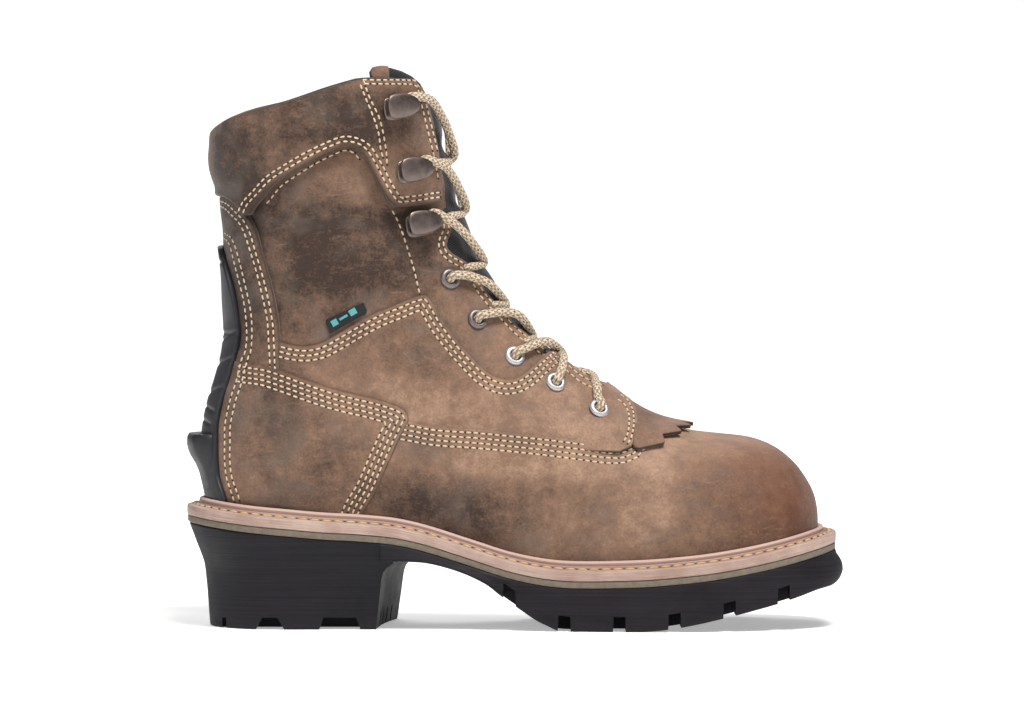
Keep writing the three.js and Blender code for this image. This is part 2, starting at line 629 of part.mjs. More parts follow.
// Fittings find their place on the last by their place in the side view
function onLast([shareX, shareZ], side) {
  const [x, z] = place([shareX, shareZ]);
  let [u, v, best] = [0.5, 0.3, Infinity];
  for (let i = 10; i < 100; i += 1) {
    for (let j = 2; j < 60; j += 1) {
      const p = lastPoint(i / 100, side * j / 100);
      const gap = (p.x - x) ** 2 + (p.z - z) ** 2;
      if (gap < best) [u, v, best] = [i / 100, j / 100, gap];
    }
  }
  const step = 1e-3;
  for (let turn = 0; turn < 8; turn += 1) {
    const p = lastPoint(u, side * v);
    const pu = lastPoint(u + step, side * v).sub(p);
    const pv = lastPoint(u, side * (v + step)).sub(p);
    const det = pu.x * pv.z - pu.z * pv.x;
    u += step * ((x - p.x) * pv.z - (z - p.z) * pv.x) / det;
    v += step * (pu.x * (z - p.z) - pu.z * (x - p.x)) / det;
  }
  return { u, v };
}

const sides = [['lateral', -1], ['medial', 1]];
const stationsOf = (places, layerOf) => places.map((spot, i) => ({ ...onLast(spot, -1), layer: layerOf(i) }));
const eyeletStations = stationsOf(eyeletPlaces, (i) => (i < 3 ? 0 : quarterTopOut));
const hookStations = stationsOf(hookPlaces, (i) => (i < 2 ? clearance + collarThickness : 0));

// A frame on the leather: forward runs to the throat, out leaves the surface
function seat({ u, v, layer }, side) {
  const out = lastNormal(u, side * v);
  const forward = lastPoint(u, side * (v - 0.02)).sub(lastPoint(u, side * (v + 0.02)));
  forward.addScaledVector(out, -forward.dot(out)).normalize();
  const matrix = new THREE.Matrix4().makeBasis(forward, out.clone().cross(forward), out);
  return matrix.setPosition(formPoint(u, side * v, layer));
}

const eyeletShank = eyeletHole / 2 + 0.6;
const drilled = (station, side) => {
  const drill = new THREE.CylinderGeometry(eyeletShank + clearance, eyeletShank + clearance * 2, 24, 8);
  return geometrySolid(drill.rotateX(Math.PI / 2).applyMatrix4(seat(station, side)));
};
const holes = sides.flatMap(([, side]) => eyeletStations.map((station) => drilled(station, side)));
const withHoles = (solid) => holes.reduce((rest, hole) => rest.subtract(hole), solid);

// Upper: one hollow wall, with the vamp as a step
const vamp = form(vampRise).intersect(plate(vampRegion).subtract(quarterBay).subtract(counterBay));
const upper = form(0).add(vamp).intersect(plate(upperRegion))
  .subtract(form(-leather, coarse)).subtract(throat);
addPiece('upper', withHoles(upper), colours.leather);

const quarter = withHoles(shell(clearance, quarterTopOut).intersect(plate(quarterRegion))
  .subtract(counterBay).subtract(strapBay).subtract(throat));
for (const [name, side] of sides) {
  const half = plate([[-length, underFloor], [length, underFloor], [length, height], [-length, height]],
    side < 0 ? -halfSpan : 0, side < 0 ? 0 : halfSpan);
  addPiece(`quarter_${name}`, quarter.intersect(half), colours.leather);
}
addPiece('counter', shell(clearance, clearance + counterThickness).intersect(plate(counterRegion)),
  colours.leather);
addPiece('back_strap', shell(clearance, clearance + strapThickness)
  .intersect(plate(strapRegion)).subtract(counterBay), colours.leather);
addPiece('collar_band', shell(clearance, clearance + collarThickness)
  .intersect(plate(collarRegion)).subtract(strapBay).subtract(throat), colours.leather);

// Guard: rubber skin up the back with a kick-off ledge
function makeGuard() {
  const ledgeSteps = 14;
  const spread = 0.36;
  const [ledgeStart, ledgeEnd] = [0.5, 0.75];
  const tipShare = 0.12;
  const rings = [];
  for (let i = 0; i <= ledgeSteps; i += 1) {
    const v = 1 + spread * (2 * i / ledgeSteps - 1);
    const fade = Math.cos((v - 1) / spread * Math.PI / 2) ** 0.5;
    rings.push(ledgeRows.map(([reach, share]) => {
      let [low, high] = [ledgeStart, ledgeEnd];
      for (let k = 0; k < 30; k += 1) {
        const middle = (low + high) / 2;
        if (lastPoint(middle, v).z < share * height) low = middle; else high = middle;
      }
      return formPoint(low, v, guardSeat + (reach - guardSeat) * Math.max(fade, tipShare));
    }));
  }
  return shell(guardSeat, guardSeat + guardThickness).intersect(plate(guardRegion))
    .add(skin(rings).intersect(plate(guardRegion))).subtract(form(guardSeat));
}

addPiece('heel_guard', makeGuard(), colours.rubber, 0.6);

// Tongue under the eyestays, and the fringed flap over its foot
const tongueHalf = 0.7;
const tongueStrip = ridgeStrip(throatRows.map(([share]) => [share, tongueHalf]), 12, 45);
addPiece('tongue', shell(-leather - clearance - tongueThickness, -leather - clearance, coarse)
  .intersect(tongueStrip).intersect(plate(tongueTop.map(place))), colours.cloth, 0.9);

function makeKiltie() {
  const mouth = 0.182 * length;
  const rear = 0.134 * length;
  const neck = 0.2 * halfBall;
  const wide = 0.54 * halfBall;
  const tip = 0.272 * length;
  const teeth = 7;
  const toothDepth = 4.5;
  const [shoulder, bulge] = [9, 0.8];
  const outline = [[rear, neck], [mouth, neck], [mouth + 1, wide]];
  for (let i = 0; i <= teeth * 2; i += 1) {
    const share = i / (teeth * 2);
    const y = wide * (1 - 2 * share);
    const front = lerp(mouth + shoulder, tip, Math.cos((0.5 - share) * Math.PI) ** bulge);
    outline.push([front - (i % 2 ? 0 : toothDepth), y]);
  }
  outline.push([mouth + 1, -wide], [mouth, -neck], [rear, -neck]);
  const shape = new THREE.Shape(outline.map(([x, y]) => new THREE.Vector2(x, y)));
  const block = new THREE.ExtrudeGeometry(shape, { depth: height, bevelEnabled: false });
  const seatOut = vampRise + clearance;
  const cut = geometrySolid(block.translate(0, 0, height / 4));
  return shell(seatOut, seatOut + kiltieThickness).intersect(cut);
}

addPiece('kiltie', makeKiltie(), colours.leather);
addPiece('side_tag', shell(clearance, clearance + tagThickness)
  .intersect(plate(tagCorners.map(place), -halfSpan, 0)), colours.tag);

// Eyelets: rolled rims with a short barrel in the leather
for (const [name, side] of sides) {
  eyeletStations.forEach((station, i) => {
    const hole = eyeletHole / 2;
    const foot = -station.layer - leather + barrelShort;
    const rim = eyeletOuter / 2;
    const top = clearance + rimHeight;
    const profile = [[hole, foot], [eyeletShank, foot], [eyeletShank, clearance], [rim, clearance],
      [rim - rimHeight / 2, top], [hole, top], [hole, foot]];
    const ring = new THREE.LatheGeometry(profile.map(([r, h]) => new THREE.Vector2(r, h)), 8);
    const solid = geometrySolid(ring.rotateX(Math.PI / 2).applyMatrix4(seat(station, side)));
    addPiece(`eyelet_${name}_${i + 1}`, solid, colours.steel, 0.35, 1);
  });
}

// Speed hooks: a base on the leather, a neck towards the throat and a rounded cap over the lace
const hookMouth = laceDiameter + 2 * clearance;

function roundedSlab(sizeX, sizeY, thickness, corner) {
  const [x, y] = [sizeX / 2, sizeY / 2];
  const shape = new THREE.Shape();
  shape.moveTo(-x + corner, -y).lineTo(x - corner, -y).quadraticCurveTo(x, -y, x, -y + corner);
  shape.lineTo(x, y - corner).quadraticCurveTo(x, y, x - corner, y).lineTo(-x + corner, y);
  shape.quadraticCurveTo(-x, y, -x, y - corner).lineTo(-x, -y + corner);
  shape.quadraticCurveTo(-x, -y, -x + corner, -y);
  return new THREE.ExtrudeGeometry(shape, { depth: thickness, bevelEnabled: false, curveSegments: 1 });
}

for (const [name, side] of sides) {
  hookStations.forEach((station, i) => {
    const sunk = 0.2;
    const corner = 0.25 * hookWidth;
    const base = roundedSlab(hookLength - 3, hookWidth - 1, hookPlate, corner).translate(0, 0, seatGap);
    const neck = roundedSlab(2.2, hookWidth * 0.55, hookMouth + 2 * sunk, 0.6)
      .translate(0.26 * hookLength, 0, seatGap + hookPlate - sunk);
    const cap = roundedSlab(hookLength, hookWidth, hookPlate, corner)
      .translate(-0.6, 0, seatGap + hookPlate + hookMouth);
    const solid = [base, neck, cap].map(geometrySolid).reduce((sum, piece) => sum.add(piece));
    addPiece(`hook_${name}_${i + 1}`, solid.transform(seat(station, side).elements),
      colours.gunmetal, 0.35, 1);
  });
}

// Lace crossings, each two strands joined where they meet. Over says whether the strands lie on
// the leather at the lower and the upper fitting, or come from under it.
const anchors = [...hookStations, ...eyeletStations];
const crossingOver = [
  [false, true], [false, true], [false, true], [false, true], [false, true], [true, true], [true, false]];

function throatEdge(u) {
  const half = readRows(throatRows, lastPoint(u, 0).z / height) * halfBall;
  let v = 0;
  while (Math.abs(lastPoint(u, -v).y - lastPoint(u, 0).y) < half) v += 0.002;
  return v;
}

// How far along and how far in from the fitting the cord first shows, by how it is held
const held = {
  hook: { along: 0.25, inward: 0.9 },
  eyelet: { along: 0.2, inward: 0.92 },
  under: { along: 0.36, depth: 0.5, tuck: 0.04 },
};
const overlapRise = 0.9;

function makeStrand(upperEnd, lowerEnd, over, side, lift) {
  const radius = laceDiameter / 2;
  const ends = [[upperEnd, over[1], side], [lowerEnd, over[0], -side]];
  const mouthLevel = hookPlate + clearance + hookMouth / 2;
  const [start, finish] = ends.map(([end, isOver, way]) => {
    const other = end === upperEnd ? lowerEnd : upperEnd;
    const isHook = hookStations.includes(end);
    const hold = isOver ? (isHook ? held.hook : held.eyelet) : held.under;
    const u = lerp(end.u, other.u, hold.along);
    const edge = throatEdge(u);
    if (!isOver) return [[u, way * (edge - hold.tuck), hold.depth]];
    if (isHook) {
      const reach = end.layer > 0 ? edge * hold.inward : edge;
      return [[u, way * reach, end.layer + mouthLevel]];
    }
    const overStep = Math.min(end.layer, other.layer) > 0 ? 0 : 3 * clearance;
    const touch = end.layer + radius + seatGap + overStep;
    return [[u, way * lerp(end.v, edge, 0.62), touch], [u, way * edge * hold.inward, touch]];
  });
  const middle = (start[0][0] * Math.abs(finish[0][1]) + finish[0][0] * Math.abs(start[0][1]))
    / (Math.abs(start[0][1]) + Math.abs(finish[0][1]));
  const route = [...start, [middle, 0, radius + lift], ...finish.reverse()];
  const curve = new THREE.CatmullRomCurve3(route.map(([u, v, offset]) => formPoint(u, v, offset)));
  const round = new THREE.Shape();
  round.absarc(0, 0, radius, 0, 2 * Math.PI);
  const sweep = { steps: 4, curveSegments: 4, extrudePath: curve };
  return geometrySolid(new THREE.ExtrudeGeometry(round, sweep));
}

crossingOver.forEach((over, i) => {
  const [upperEnd, lowerEnd] = [anchors[i], anchors[i + 1]];
  const strands = [[-1, overlapRise], [1, -overlapRise]].map(
    ([side, lift]) => makeStrand(upperEnd, lowerEnd, over, side, lift));
  addPiece(`lace_crossing_${i + 1}`, strands[0].add(strands[1]), colours.lace, 0.9);
});

export default boot;
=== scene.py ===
import math

import bmesh
import bpy
import numpy as np
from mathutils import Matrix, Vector


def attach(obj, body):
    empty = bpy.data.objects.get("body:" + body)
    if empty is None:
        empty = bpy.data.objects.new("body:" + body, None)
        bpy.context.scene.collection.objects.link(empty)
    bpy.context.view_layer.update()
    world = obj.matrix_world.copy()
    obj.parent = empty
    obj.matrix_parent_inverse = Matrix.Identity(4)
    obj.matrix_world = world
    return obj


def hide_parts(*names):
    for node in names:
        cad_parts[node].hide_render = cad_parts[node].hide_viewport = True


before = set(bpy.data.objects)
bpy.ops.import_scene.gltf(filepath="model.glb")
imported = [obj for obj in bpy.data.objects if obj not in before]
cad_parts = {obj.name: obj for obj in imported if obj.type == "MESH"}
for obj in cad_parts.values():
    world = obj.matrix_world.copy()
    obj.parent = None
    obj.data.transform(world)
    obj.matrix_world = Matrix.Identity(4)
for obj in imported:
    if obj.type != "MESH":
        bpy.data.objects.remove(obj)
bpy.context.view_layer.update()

# Studio. The boot stands on a pale floor and is seen square from its outer side, from over two
# metres away with a long lens. A wide soft key hangs above its outer side, a little towards the
# toe, with weak lights from the heel's side and from behind, so that the shadows stay soft.
camera_data = bpy.data.cameras.new("camera")
camera_data.sensor_width = 36
camera_data.lens = 163.7
camera = bpy.data.objects.new("camera", camera_data)
bpy.context.scene.collection.objects.link(camera)
bpy.context.scene.camera = camera
camera.location = (-0.0011, -2.2, 0.154)
view_target = Vector((-0.0011, 0.0, 0.1283))
camera.rotation_euler = (view_target - camera.location).to_track_quat("-Z", "Y").to_euler()
bpy.context.scene.view_settings.view_transform = "Standard"
bpy.context.scene.view_settings.look = "None"


def linear(code):
    """An sRGB hex value as the linear colour that the sockets take."""
    shares = [int(code[i:i + 2], 16) / 255 for i in (1, 3, 5)]
    return tuple(c / 12.92 if c <= 0.04045 else ((c + 0.055) / 1.055) ** 2.4 for c in shares) + (1.0,)


def add_node(tree, kind, inputs=None, **settings):
    """A new node with its settings, and with values or links on its sockets."""
    made = tree.nodes.new(kind)
    for name, value in settings.items():
        setattr(made, name, value)
    for socket, value in (inputs or {}).items():
        if isinstance(value, bpy.types.NodeSocket):
            tree.links.new(value, made.inputs[socket])
        else:
            made.inputs[socket].default_value = value
    return made


def new_finish(name, **constants):
    """A material with its shader, and constants on the shader's own sockets."""
    material = bpy.data.materials.new(name)
    material.use_nodes = True
    tree = material.node_tree
    shader = tree.nodes["Principled BSDF"]
    for socket, value in constants.items():
        shader.inputs[socket.replace("_", " ")].default_value = value
    return material, tree, shader


def add_light(name, place, target, size, watts, colour):
    data = bpy.data.lights.new(name, "AREA")
    data.shape = "RECTANGLE"
    data.size, data.size_y = size
    data.energy = watts
    data.color = linear(colour)[:3]
    light = bpy.data.objects.new(name, data)
    light.location = place
    light.rotation_euler = (Vector(target) - Vector(place)).to_track_quat("-Z", "Y").to_euler()
    bpy.context.scene.collection.objects.link(light)


world = bpy.data.worlds.new("studio")
bpy.context.scene.world = world
world.use_nodes = True
sky = world.node_tree.nodes["Background"]
sky.inputs["Color"].default_value = linear("#ffffff")
ray = add_node(world.node_tree, "ShaderNodeLightPath")
SKY_LIGHT, SKY_SEEN = 0.20, 1.15
seen = add_node(world.node_tree, "ShaderNodeMapRange", {
    "Value": ray.outputs["Is Camera Ray"], "To Min": SKY_LIGHT, "To Max": SKY_SEEN})
world.node_tree.links.new(seen.outputs[0], sky.inputs["Strength"])
boot_middle = (0.0, 0.0, 0.11)
add_light("key", (0.45, -0.9, 2.1), boot_middle, (0.9, 0.7), 64, "#fffaf4")
add_light("heel_light", (-1.9, -1.1, 0.9), boot_middle, (0.9, 1.2), 5, "#ffffff")
add_light("back_light", (-0.4, 1.7, 1.4), boot_middle, (1.6, 0.8), 16, "#ffffff")

floor_mesh = bpy.data.meshes.new("floor")
floor_half = 30.0
floor_mesh.from_pydata(
    [(-floor_half, -floor_half, 0), (floor_half, -floor_half, 0), (floor_half, floor_half, 0),
     (-floor_half, floor_half, 0)], [], [(0, 1, 2, 3)])
floor = bpy.data.objects.new("floor", floor_mesh)
bpy.context.scene.collection.objects.link(floor)
# Painted light: the floor glows, weakly within 0.3 m of the boot so that its shadow shows, and fully from 1.3
# m off, so that the far floor is as white as the backdrop.
floor_finish, floor_tree, floor_shader = new_finish(
    "pale_floor_painted_glow", Base_Color=linear("#fbfbfb"), Roughness=0.55, Emission_Color=linear("#ffffff"))
floor_place = add_node(floor_tree, "ShaderNodeTexCoord")
floor_far = add_node(
    floor_tree, "ShaderNodeVectorMath", {0: floor_place.outputs["Object"]}, operation="LENGTH")
floor_glow = add_node(floor_tree, "ShaderNodeMapRange", {
    "Value": floor_far.outputs["Value"], "From Min": 0.3, "From Max": 1.3, "To Min": 0.38, "To Max": 1.0})
floor_tree.links.new(floor_glow.outputs[0], floor_shader.inputs["Emission Strength"])
floor_mesh.materials.append(floor_finish)


# Last. The upper is pulled over a last, and every piece of leather follows it. Each row is a
# section from a front point on the ridge to a back point on the bottom or the heel, in shares of
# the boot's length, height and half its width at the ball, in millimetres.
LENGTH = 310.4
HEIGHT = 264.0
HALF_BALL = 48.5
MM = 0.001
# frontX, frontZ, backX, backZ, centre, lateral, medial, widest, frontRound, backRound
SECTIONS = np.array([
    (0.956, 0.189, 0.956, 0.189, 0.14, 0.000, 0.000, 0.50, 2.20, 2.6),
    (0.954, 0.212, 0.953, 0.159, 0.14, 0.333, 0.333, 0.60, 2.20, 2.4),
    (0.949, 0.235, 0.947, 0.144, 0.14, 0.500, 0.480, 0.62, 2.20, 2.5),
    (0.938, 0.259, 0.935, 0.133, 0.14, 0.647, 0.598, 0.64, 2.20, 2.6),
    (0.921, 0.285, 0.916, 0.121, 0.13, 0.784, 0.716, 0.66, 2.25, 2.7),
    (0.893, 0.311, 0.883, 0.108, 0.12, 0.902, 0.824, 0.68, 2.30, 2.8),
    (0.857, 0.327, 0.838, 0.095, 0.10, 0.976, 0.898, 0.69, 2.30, 2.9),
    (0.810, 0.334, 0.784, 0.081, 0.07, 1.000, 0.931, 0.69, 2.20, 3.0),
    (0.764, 0.341, 0.726, 0.074, 0.04, 0.996, 0.927, 0.68, 2.10, 3.0),
    (0.719, 0.358, 0.661, 0.070, 0.02, 0.965, 0.878, 0.68, 2.00, 3.0),
    (0.671, 0.389, 0.597, 0.068, 0.01, 0.914, 0.808, 0.68, 2.00, 3.0),
    (0.632, 0.425, 0.532, 0.074, 0.00, 0.855, 0.749, 0.68, 2.10, 3.1),
    (0.581, 0.468, 0.461, 0.106, 0.00, 0.804, 0.714, 0.67, 2.15, 3.2),
    (0.537, 0.514, 0.384, 0.136, 0.00, 0.773, 0.706, 0.65, 2.20, 3.6),
    (0.501, 0.558, 0.300, 0.155, 0.00, 0.761, 0.718, 0.62, 2.20, 4.2),
    (0.474, 0.600, 0.216, 0.163, 0.00, 0.757, 0.729, 0.59, 2.20, 4.6),
    (0.453, 0.640, 0.139, 0.169, 0.00, 0.753, 0.737, 0.56, 2.20, 4.6),
    (0.438, 0.678, 0.084, 0.178, 0.00, 0.749, 0.737, 0.54, 2.20, 4.2),
    (0.427, 0.712, 0.055, 0.205, 0.00, 0.749, 0.737, 0.53, 2.20, 3.2),
    (0.418, 0.742, 0.043, 0.250, 0.00, 0.749, 0.737, 0.52, 2.20, 2.5),
    (0.412, 0.769, 0.039, 0.299, 0.00, 0.749, 0.737, 0.52, 2.20, 2.3),
    (0.407, 0.792, 0.041, 0.345, 0.00, 0.749, 0.737, 0.52, 2.20, 2.2),
    (0.402, 0.814, 0.048, 0.390, 0.00, 0.749, 0.737, 0.52, 2.20, 2.2),
    (0.397, 0.837, 0.060, 0.436, 0.00, 0.751, 0.741, 0.52, 2.20, 2.2),
    (0.393, 0.858, 0.070, 0.481, 0.00, 0.757, 0.749, 0.52, 2.20, 2.2),
    (0.389, 0.879, 0.074, 0.527, 0.00, 0.767, 0.761, 0.52, 2.20, 2.2),
    (0.385, 0.898, 0.072, 0.576, 0.00, 0.778, 0.775, 0.51, 2.20, 2.2),
    (0.381, 0.917, 0.070, 0.629, 0.00, 0.792, 0.788, 0.51, 2.20, 2.2),
    (0.377, 0.934, 0.065, 0.682, 0.00, 0.808, 0.804, 0.51, 2.20, 2.2),
    (0.373, 0.953, 0.061, 0.735, 0.00, 0.824, 0.820, 0.50, 2.20, 2.2),
    (0.369, 0.972, 0.057, 0.788, 0.00, 0.835, 0.831, 0.50, 2.20, 2.2),
    (0.364, 0.992, 0.053, 0.837, 0.00, 0.843, 0.839, 0.50, 2.20, 2.2),
    (0.356, 1.023, 0.048, 0.898, 0.00, 0.847, 0.843, 0.50, 2.20, 2.2),
    (0.348, 1.057, 0.043, 0.962, 0.00, 0.847, 0.843, 0.50, 2.20, 2.2),
])


def place(shares):
    """Side-view places in millimetres, from shares of the length and the height."""
    return (np.asarray(shares, float) - (0.5, 0.0)) * (LENGTH, HEIGHT)


def smooth_rows(table, at):
    """Rows of a table at any place between them, on smooth cubic curves."""
    last = len(table) - 1
    at = np.clip(at, 0, 1) * last
    i = np.minimum(at.astype(int), last - 1)
    t = (at - i)[:, None]
    slopes = np.gradient(table, axis=0)
    return (table[i] * (2 * t**3 - 3 * t**2 + 1) + slopes[i] * (t**3 - 2 * t**2 + t)
            + table[i + 1] * (3 * t**2 - 2 * t**3) + slopes[i + 1] * (t**3 - t**2))


ROWS_ALONG = 529
COLUMNS_ROUND = 240


def last_side(rows, side):
    """One side of the last, from the ridge to the back, at even steps of the way round."""
    angle = np.linspace(0, math.pi, 401)
    in_front = angle < math.pi / 2
    front_x, front_z, back_x, back_z, centre, lateral, medial, widest, front_round, back_round = rows.T
    half = np.maximum(lateral if side < 0 else medial, 0) * HALF_BALL
    power = 2 / np.where(in_front, front_round[:, None], back_round[:, None])
    width = half[:, None] * np.maximum(np.sin(angle), 0) ** power
    reach = np.abs(np.cos(angle)) ** power
    low = widest[:, None]
    along = np.where(in_front, low * (1 - reach), low + (1 - low) * reach)
    points = np.stack([
        ((front_x[:, None] + (back_x - front_x)[:, None] * along) - 0.5) * LENGTH,
        centre[:, None] * HALF_BALL + side * width,
        (front_z[:, None] + (back_z - front_z)[:, None] * along) * HEIGHT], axis=2)
    walked = np.linalg.norm(np.diff(points, axis=1), axis=2).cumsum(axis=1)
    walked = np.concatenate([np.zeros((len(rows), 1)), walked], axis=1)
    even = np.linspace(0, 1, COLUMNS_ROUND + 1)
    made = np.empty((len(rows), COLUMNS_ROUND + 1, 3))
    for i in range(len(rows)):
        for axis in range(3):
            made[i, :, axis] = np.interp(even * walked[i, -1], walked[i], points[i, :, axis])
    return made


last_rows = smooth_rows(SECTIONS, np.linspace(0, 1, ROWS_ALONG))
last_points = np.concatenate(
    [last_side(last_rows, -1)[:, ::-1], last_side(last_rows, 1)[:, 1:]], axis=1)
columns = last_points[:, :-1]
around = np.roll(columns, -5, axis=1) - np.roll(columns, 5, axis=1)
ahead = np.concatenate([columns[2:], columns[-1:], columns[-1:]])
behind = np.concatenate([columns[:1], columns[:1], columns[:-2]])
last_normals = np.cross(around, ahead - behind)
last_normals[0] = (1, 0, 0)
last_normals /= np.linalg.norm(last_normals, axis=2, keepdims=True) + 1e-12
last_normals = np.concatenate([last_normals, last_normals[:, :1]], axis=1)


def on_last(u, v):
    """Points and outward directions of the last. u runs from toe to collar, v from the ridge at 0
    to the back at 1 on the inner side and -1 on the outer side."""
    fu = np.clip(u, 0, 1) * (ROWS_ALONG - 1)
    fv = ((np.asarray(v, float) + 1) % 2) * COLUMNS_ROUND
    i = np.minimum(fu.astype(int), ROWS_ALONG - 2)
    j = np.minimum(fv.astype(int), 2 * COLUMNS_ROUND - 1)
    a = (fu - i)[..., None]
    b = (fv - j)[..., None]
    corners = [
        (i, j, (1 - a) * (1 - b)), (i + 1, j, a * (1 - b)), (i, j + 1, (1 - a) * b), (i + 1, j + 1, a * b)]
    point = sum(last_points[m, n] * w for m, n, w in corners)
    normal = sum(last_normals[m, n] * w for m, n, w in corners)
    return point, normal / (np.linalg.norm(normal, axis=-1, keepdims=True) + 1e-12)


def smoothstep(value, low, high):
    t = np.clip((value - low) / (high - low), 0, 1)
    return t * t * (3 - 2 * t)


def smooth_line(points, step=1.5, least=2):
    """A smooth curve through points, as points about a step apart."""
    p = np.asarray(points, float)
    ends = np.concatenate([[2 * p[0] - p[1]], p, [2 * p[-1] - p[-2]]])
    made = []
    for k in range(1, len(ends) - 2):
        a, b, c, d = ends[k - 1:k + 3]
        count = max(least, int(np.linalg.norm(c - b) / step))
        t = np.linspace(0, 1, count, endpoint=False)[:, None]
        made.append(0.5 * (2 * b + (c - a) * t + (2 * a - 5 * b + 4 * c - d) * t**2
                           + (3 * b - a - 3 * c + d) * t**3))
    return np.concatenate(made + [p[-1:]])


def region_depth(outline, x, z):
    """How far side-view points lie inside a closed outline, negative outside."""
    shape = np.shape(x)
    q = np.stack([np.ravel(x), np.ravel(z)], axis=1)
    a = np.asarray(outline, float)
    b = np.roll(a, -1, axis=0)
    edge = b - a
    square = (edge**2).sum(1) + 1e-12
    made = np.empty(len(q))
    for start in range(0, len(q), 4000):
        p = q[start:start + 4000, None]
        t = np.clip(((p - a) * edge).sum(2) / square, 0, 1)
        gap = np.sqrt((((a + t[..., None] * edge) - p) ** 2).sum(2).min(1))
        crosses = (a[:, 1] > p[..., 1]) != (b[:, 1] > p[..., 1])
        slope = edge[:, 0] / np.where(edge[:, 1] == 0, 1e-12, edge[:, 1])
        hits = crosses & (p[..., 0] < a[:, 0] + (p[..., 1] - a[:, 1]) * slope)
        made[start:start + 4000] = np.where(hits.sum(1) % 2 == 1, gap, -gap)
    return made.reshape(shape)


# Relief of the leather: soft troughs and ridges where the ankle and the vamp bend.
# Each row is a line in the side view in millimetres, then its half width, depth and side.
CREASES = [
    (-112, 186, -52, 188, 9.0, 1.5, 0), (-116, 205, -60, 214, 10.0, -1.2, 0),
    (-108, 168, -40, 172, 9.0, -1.1, 0), (-52, 176, -30, 168, 4.0, 0.7, 0),
    (-60, 160, -28, 150, 5.0, 0.6, 0), (-98, 152, -72, 158, 7.0, 0.7, -1),
    (-30, 136, 4, 118, 2.4, 0.35, 0), (-24, 129, 8, 112, 2.2, 0.3, 0), (-36, 142, -6, 128, 2.6, 0.3, 0),
    (-20, 122, 12, 108, 2.4, 0.3, 0), (-44, 128, 0, 112, 7.0, -0.6, 0), (0, 108, 44, 100, 6.0, 0.5, 0),
    (-10, 100, 46, 92, 7.0, -0.7, 0), (-96, 118, -58, 104, 12.0, 0.6, 0),
    (-30, 78, 40, 66, 12.0, -0.5, 0), (-88, 140, -50, 148, 5.0, -0.5, -1),
]


def relief(point):
    """Height of the creases and swells at points of the leather."""
    height = np.zeros(point.shape[:-1])
    for x0, z0, x1, z1, width, depth, side in CREASES:
        along = np.array([x1 - x0, z1 - z0], float)
        q = point[..., [0, 2]] - (x0, z0)
        t = np.clip((q * along).sum(-1) / (along**2).sum(), 0, 1)
        bow = 0.10 * np.linalg.norm(along) * (t - t * t)
        gap = q - t[..., None] * along
        gap[..., 1] += bow
        pull = np.exp(-(gap**2).sum(-1) / width**2) * np.sin(math.pi * np.clip(t, 0.12, 0.88))
        if side != 0:
            pull = pull * (np.sign(point[..., 1]) == side)
        height -= depth * pull
    x, y, z = point[..., 0], point[..., 1], point[..., 2]
    ripple = np.sin(x * 0.21 + z * 0.13) * np.sin(z * 0.19 - y * 0.11)
    shaft = smoothstep(point[..., 2], 95, 130) * (1 - smoothstep(point[..., 2], 215, 250))
    return height + 0.35 * ripple * shaft


# Tones of the oiled leather, with painted shade and painted highlights among them: x, z, spread in x and z,
# tone and side. The shaft, the collar and the low edges are darker than the foot, partly their own colour and
# partly painted shade, most along the welt and at the toe's tip; the top of the toe has a painted highlight,
# bent places are paler, and the toe's tip is redder.
TONES_AND_PAINTED_LIGHT = [
    (-92, 228, 50, 18, -0.22, 0), (-132, 176, 9, 44, -0.35, 0), (-70, 172, 46, 26, -0.2, 0),
    (-14, 62, 34, 12, -0.30, 0), (104, 90, 30, 10, 0.28, 0), (144, 62, 12, 26, -0.30, 0),
    (-78, 74, 26, 14, -0.15, 0), (-44, 120, 26, 14, -0.15, -1), (-30, 100, 30, 8, 0.2, -1),
    (76, 50, 60, 10, -0.10, 0), (-66, 200, 20, 8, 0.2, -1),
    (-100, 246, 60, 16, -0.25, 0), (-80, 160, 50, 20, -0.30, 0), (-134, 150, 14, 60, -0.35, 0),
    (-20, 118, 40, 20, -0.12, 0), (-92, 92, 40, 26, -0.45, 0), (-36, 60, 36, 20, -0.35, 0),
    (100, 90, 36, 12, 0.30, 0), (144, 60, 18, 26, -0.45, 0), (96, 62, 34, 14, -0.15, 0),
    (0, 42, 60, 7, -0.25, 0), (60, 32, 60, 6, -0.3, 0), (120, 40, 30, 8, -0.3, 0), (-90, 58, 40, 7, -0.2, 0),
    (-80, 190, 60, 26, -0.62, 0), (-60, 170, 40, 22, -0.40, 0), (-84, 186, 30, 8, -0.35, -1),
    (-100, 236, 60, 20, -0.50, 0), (-50, 236, 26, 20, -0.30, 0), (-134, 186, 12, 50, -0.55, 0),
    (-112, 130, 16, 30, -0.35, 0), (-34, 133, 26, 12, -0.25, -1), (-8, 112, 30, 8, 0.2, -1),
    (10, 74, 60, 8, 0.30, -1), (-20, 56, 60, 16, -0.25, 0), (-86, 84, 30, 16, 0.1, -1),
    (-66, 112, 26, 6, 0.25, -1), (50, 60, 50, 20, 0.15, 0), (84, 86, 26, 8, 0.35, 0),
    (112, 62, 26, 18, -0.30, 0), (138, 52, 12, 22, -0.45, 0), (20, 96, 30, 7, 0.15, -1),
    (-76, 214, 26, 8, 0.25, -1), (-44, 205, 10, 22, 0.15, -1), (-80, 180, 34, 12, -0.3, 1),
    (20, 70, 60, 12, 0.3, 1), (-60, 90, 34, 20, 0.1, 1),
]
TOE_RED = [(138, 60, 40, 32, 1.0, 0), (100, 88, 40, 18, 0.45, 0)]


def blobs(rows, point):
    value = np.zeros(point.shape[:-1])
    for x, z, wide, tall, amount, side in rows:
        pull = np.exp(-((point[..., 0] - x) / wide) ** 2 - ((point[..., 2] - z) / tall) ** 2)
        if side != 0:
            pull = pull * smoothstep(point[..., 1] * side, -6, 6)
        value += amount * pull
    return value


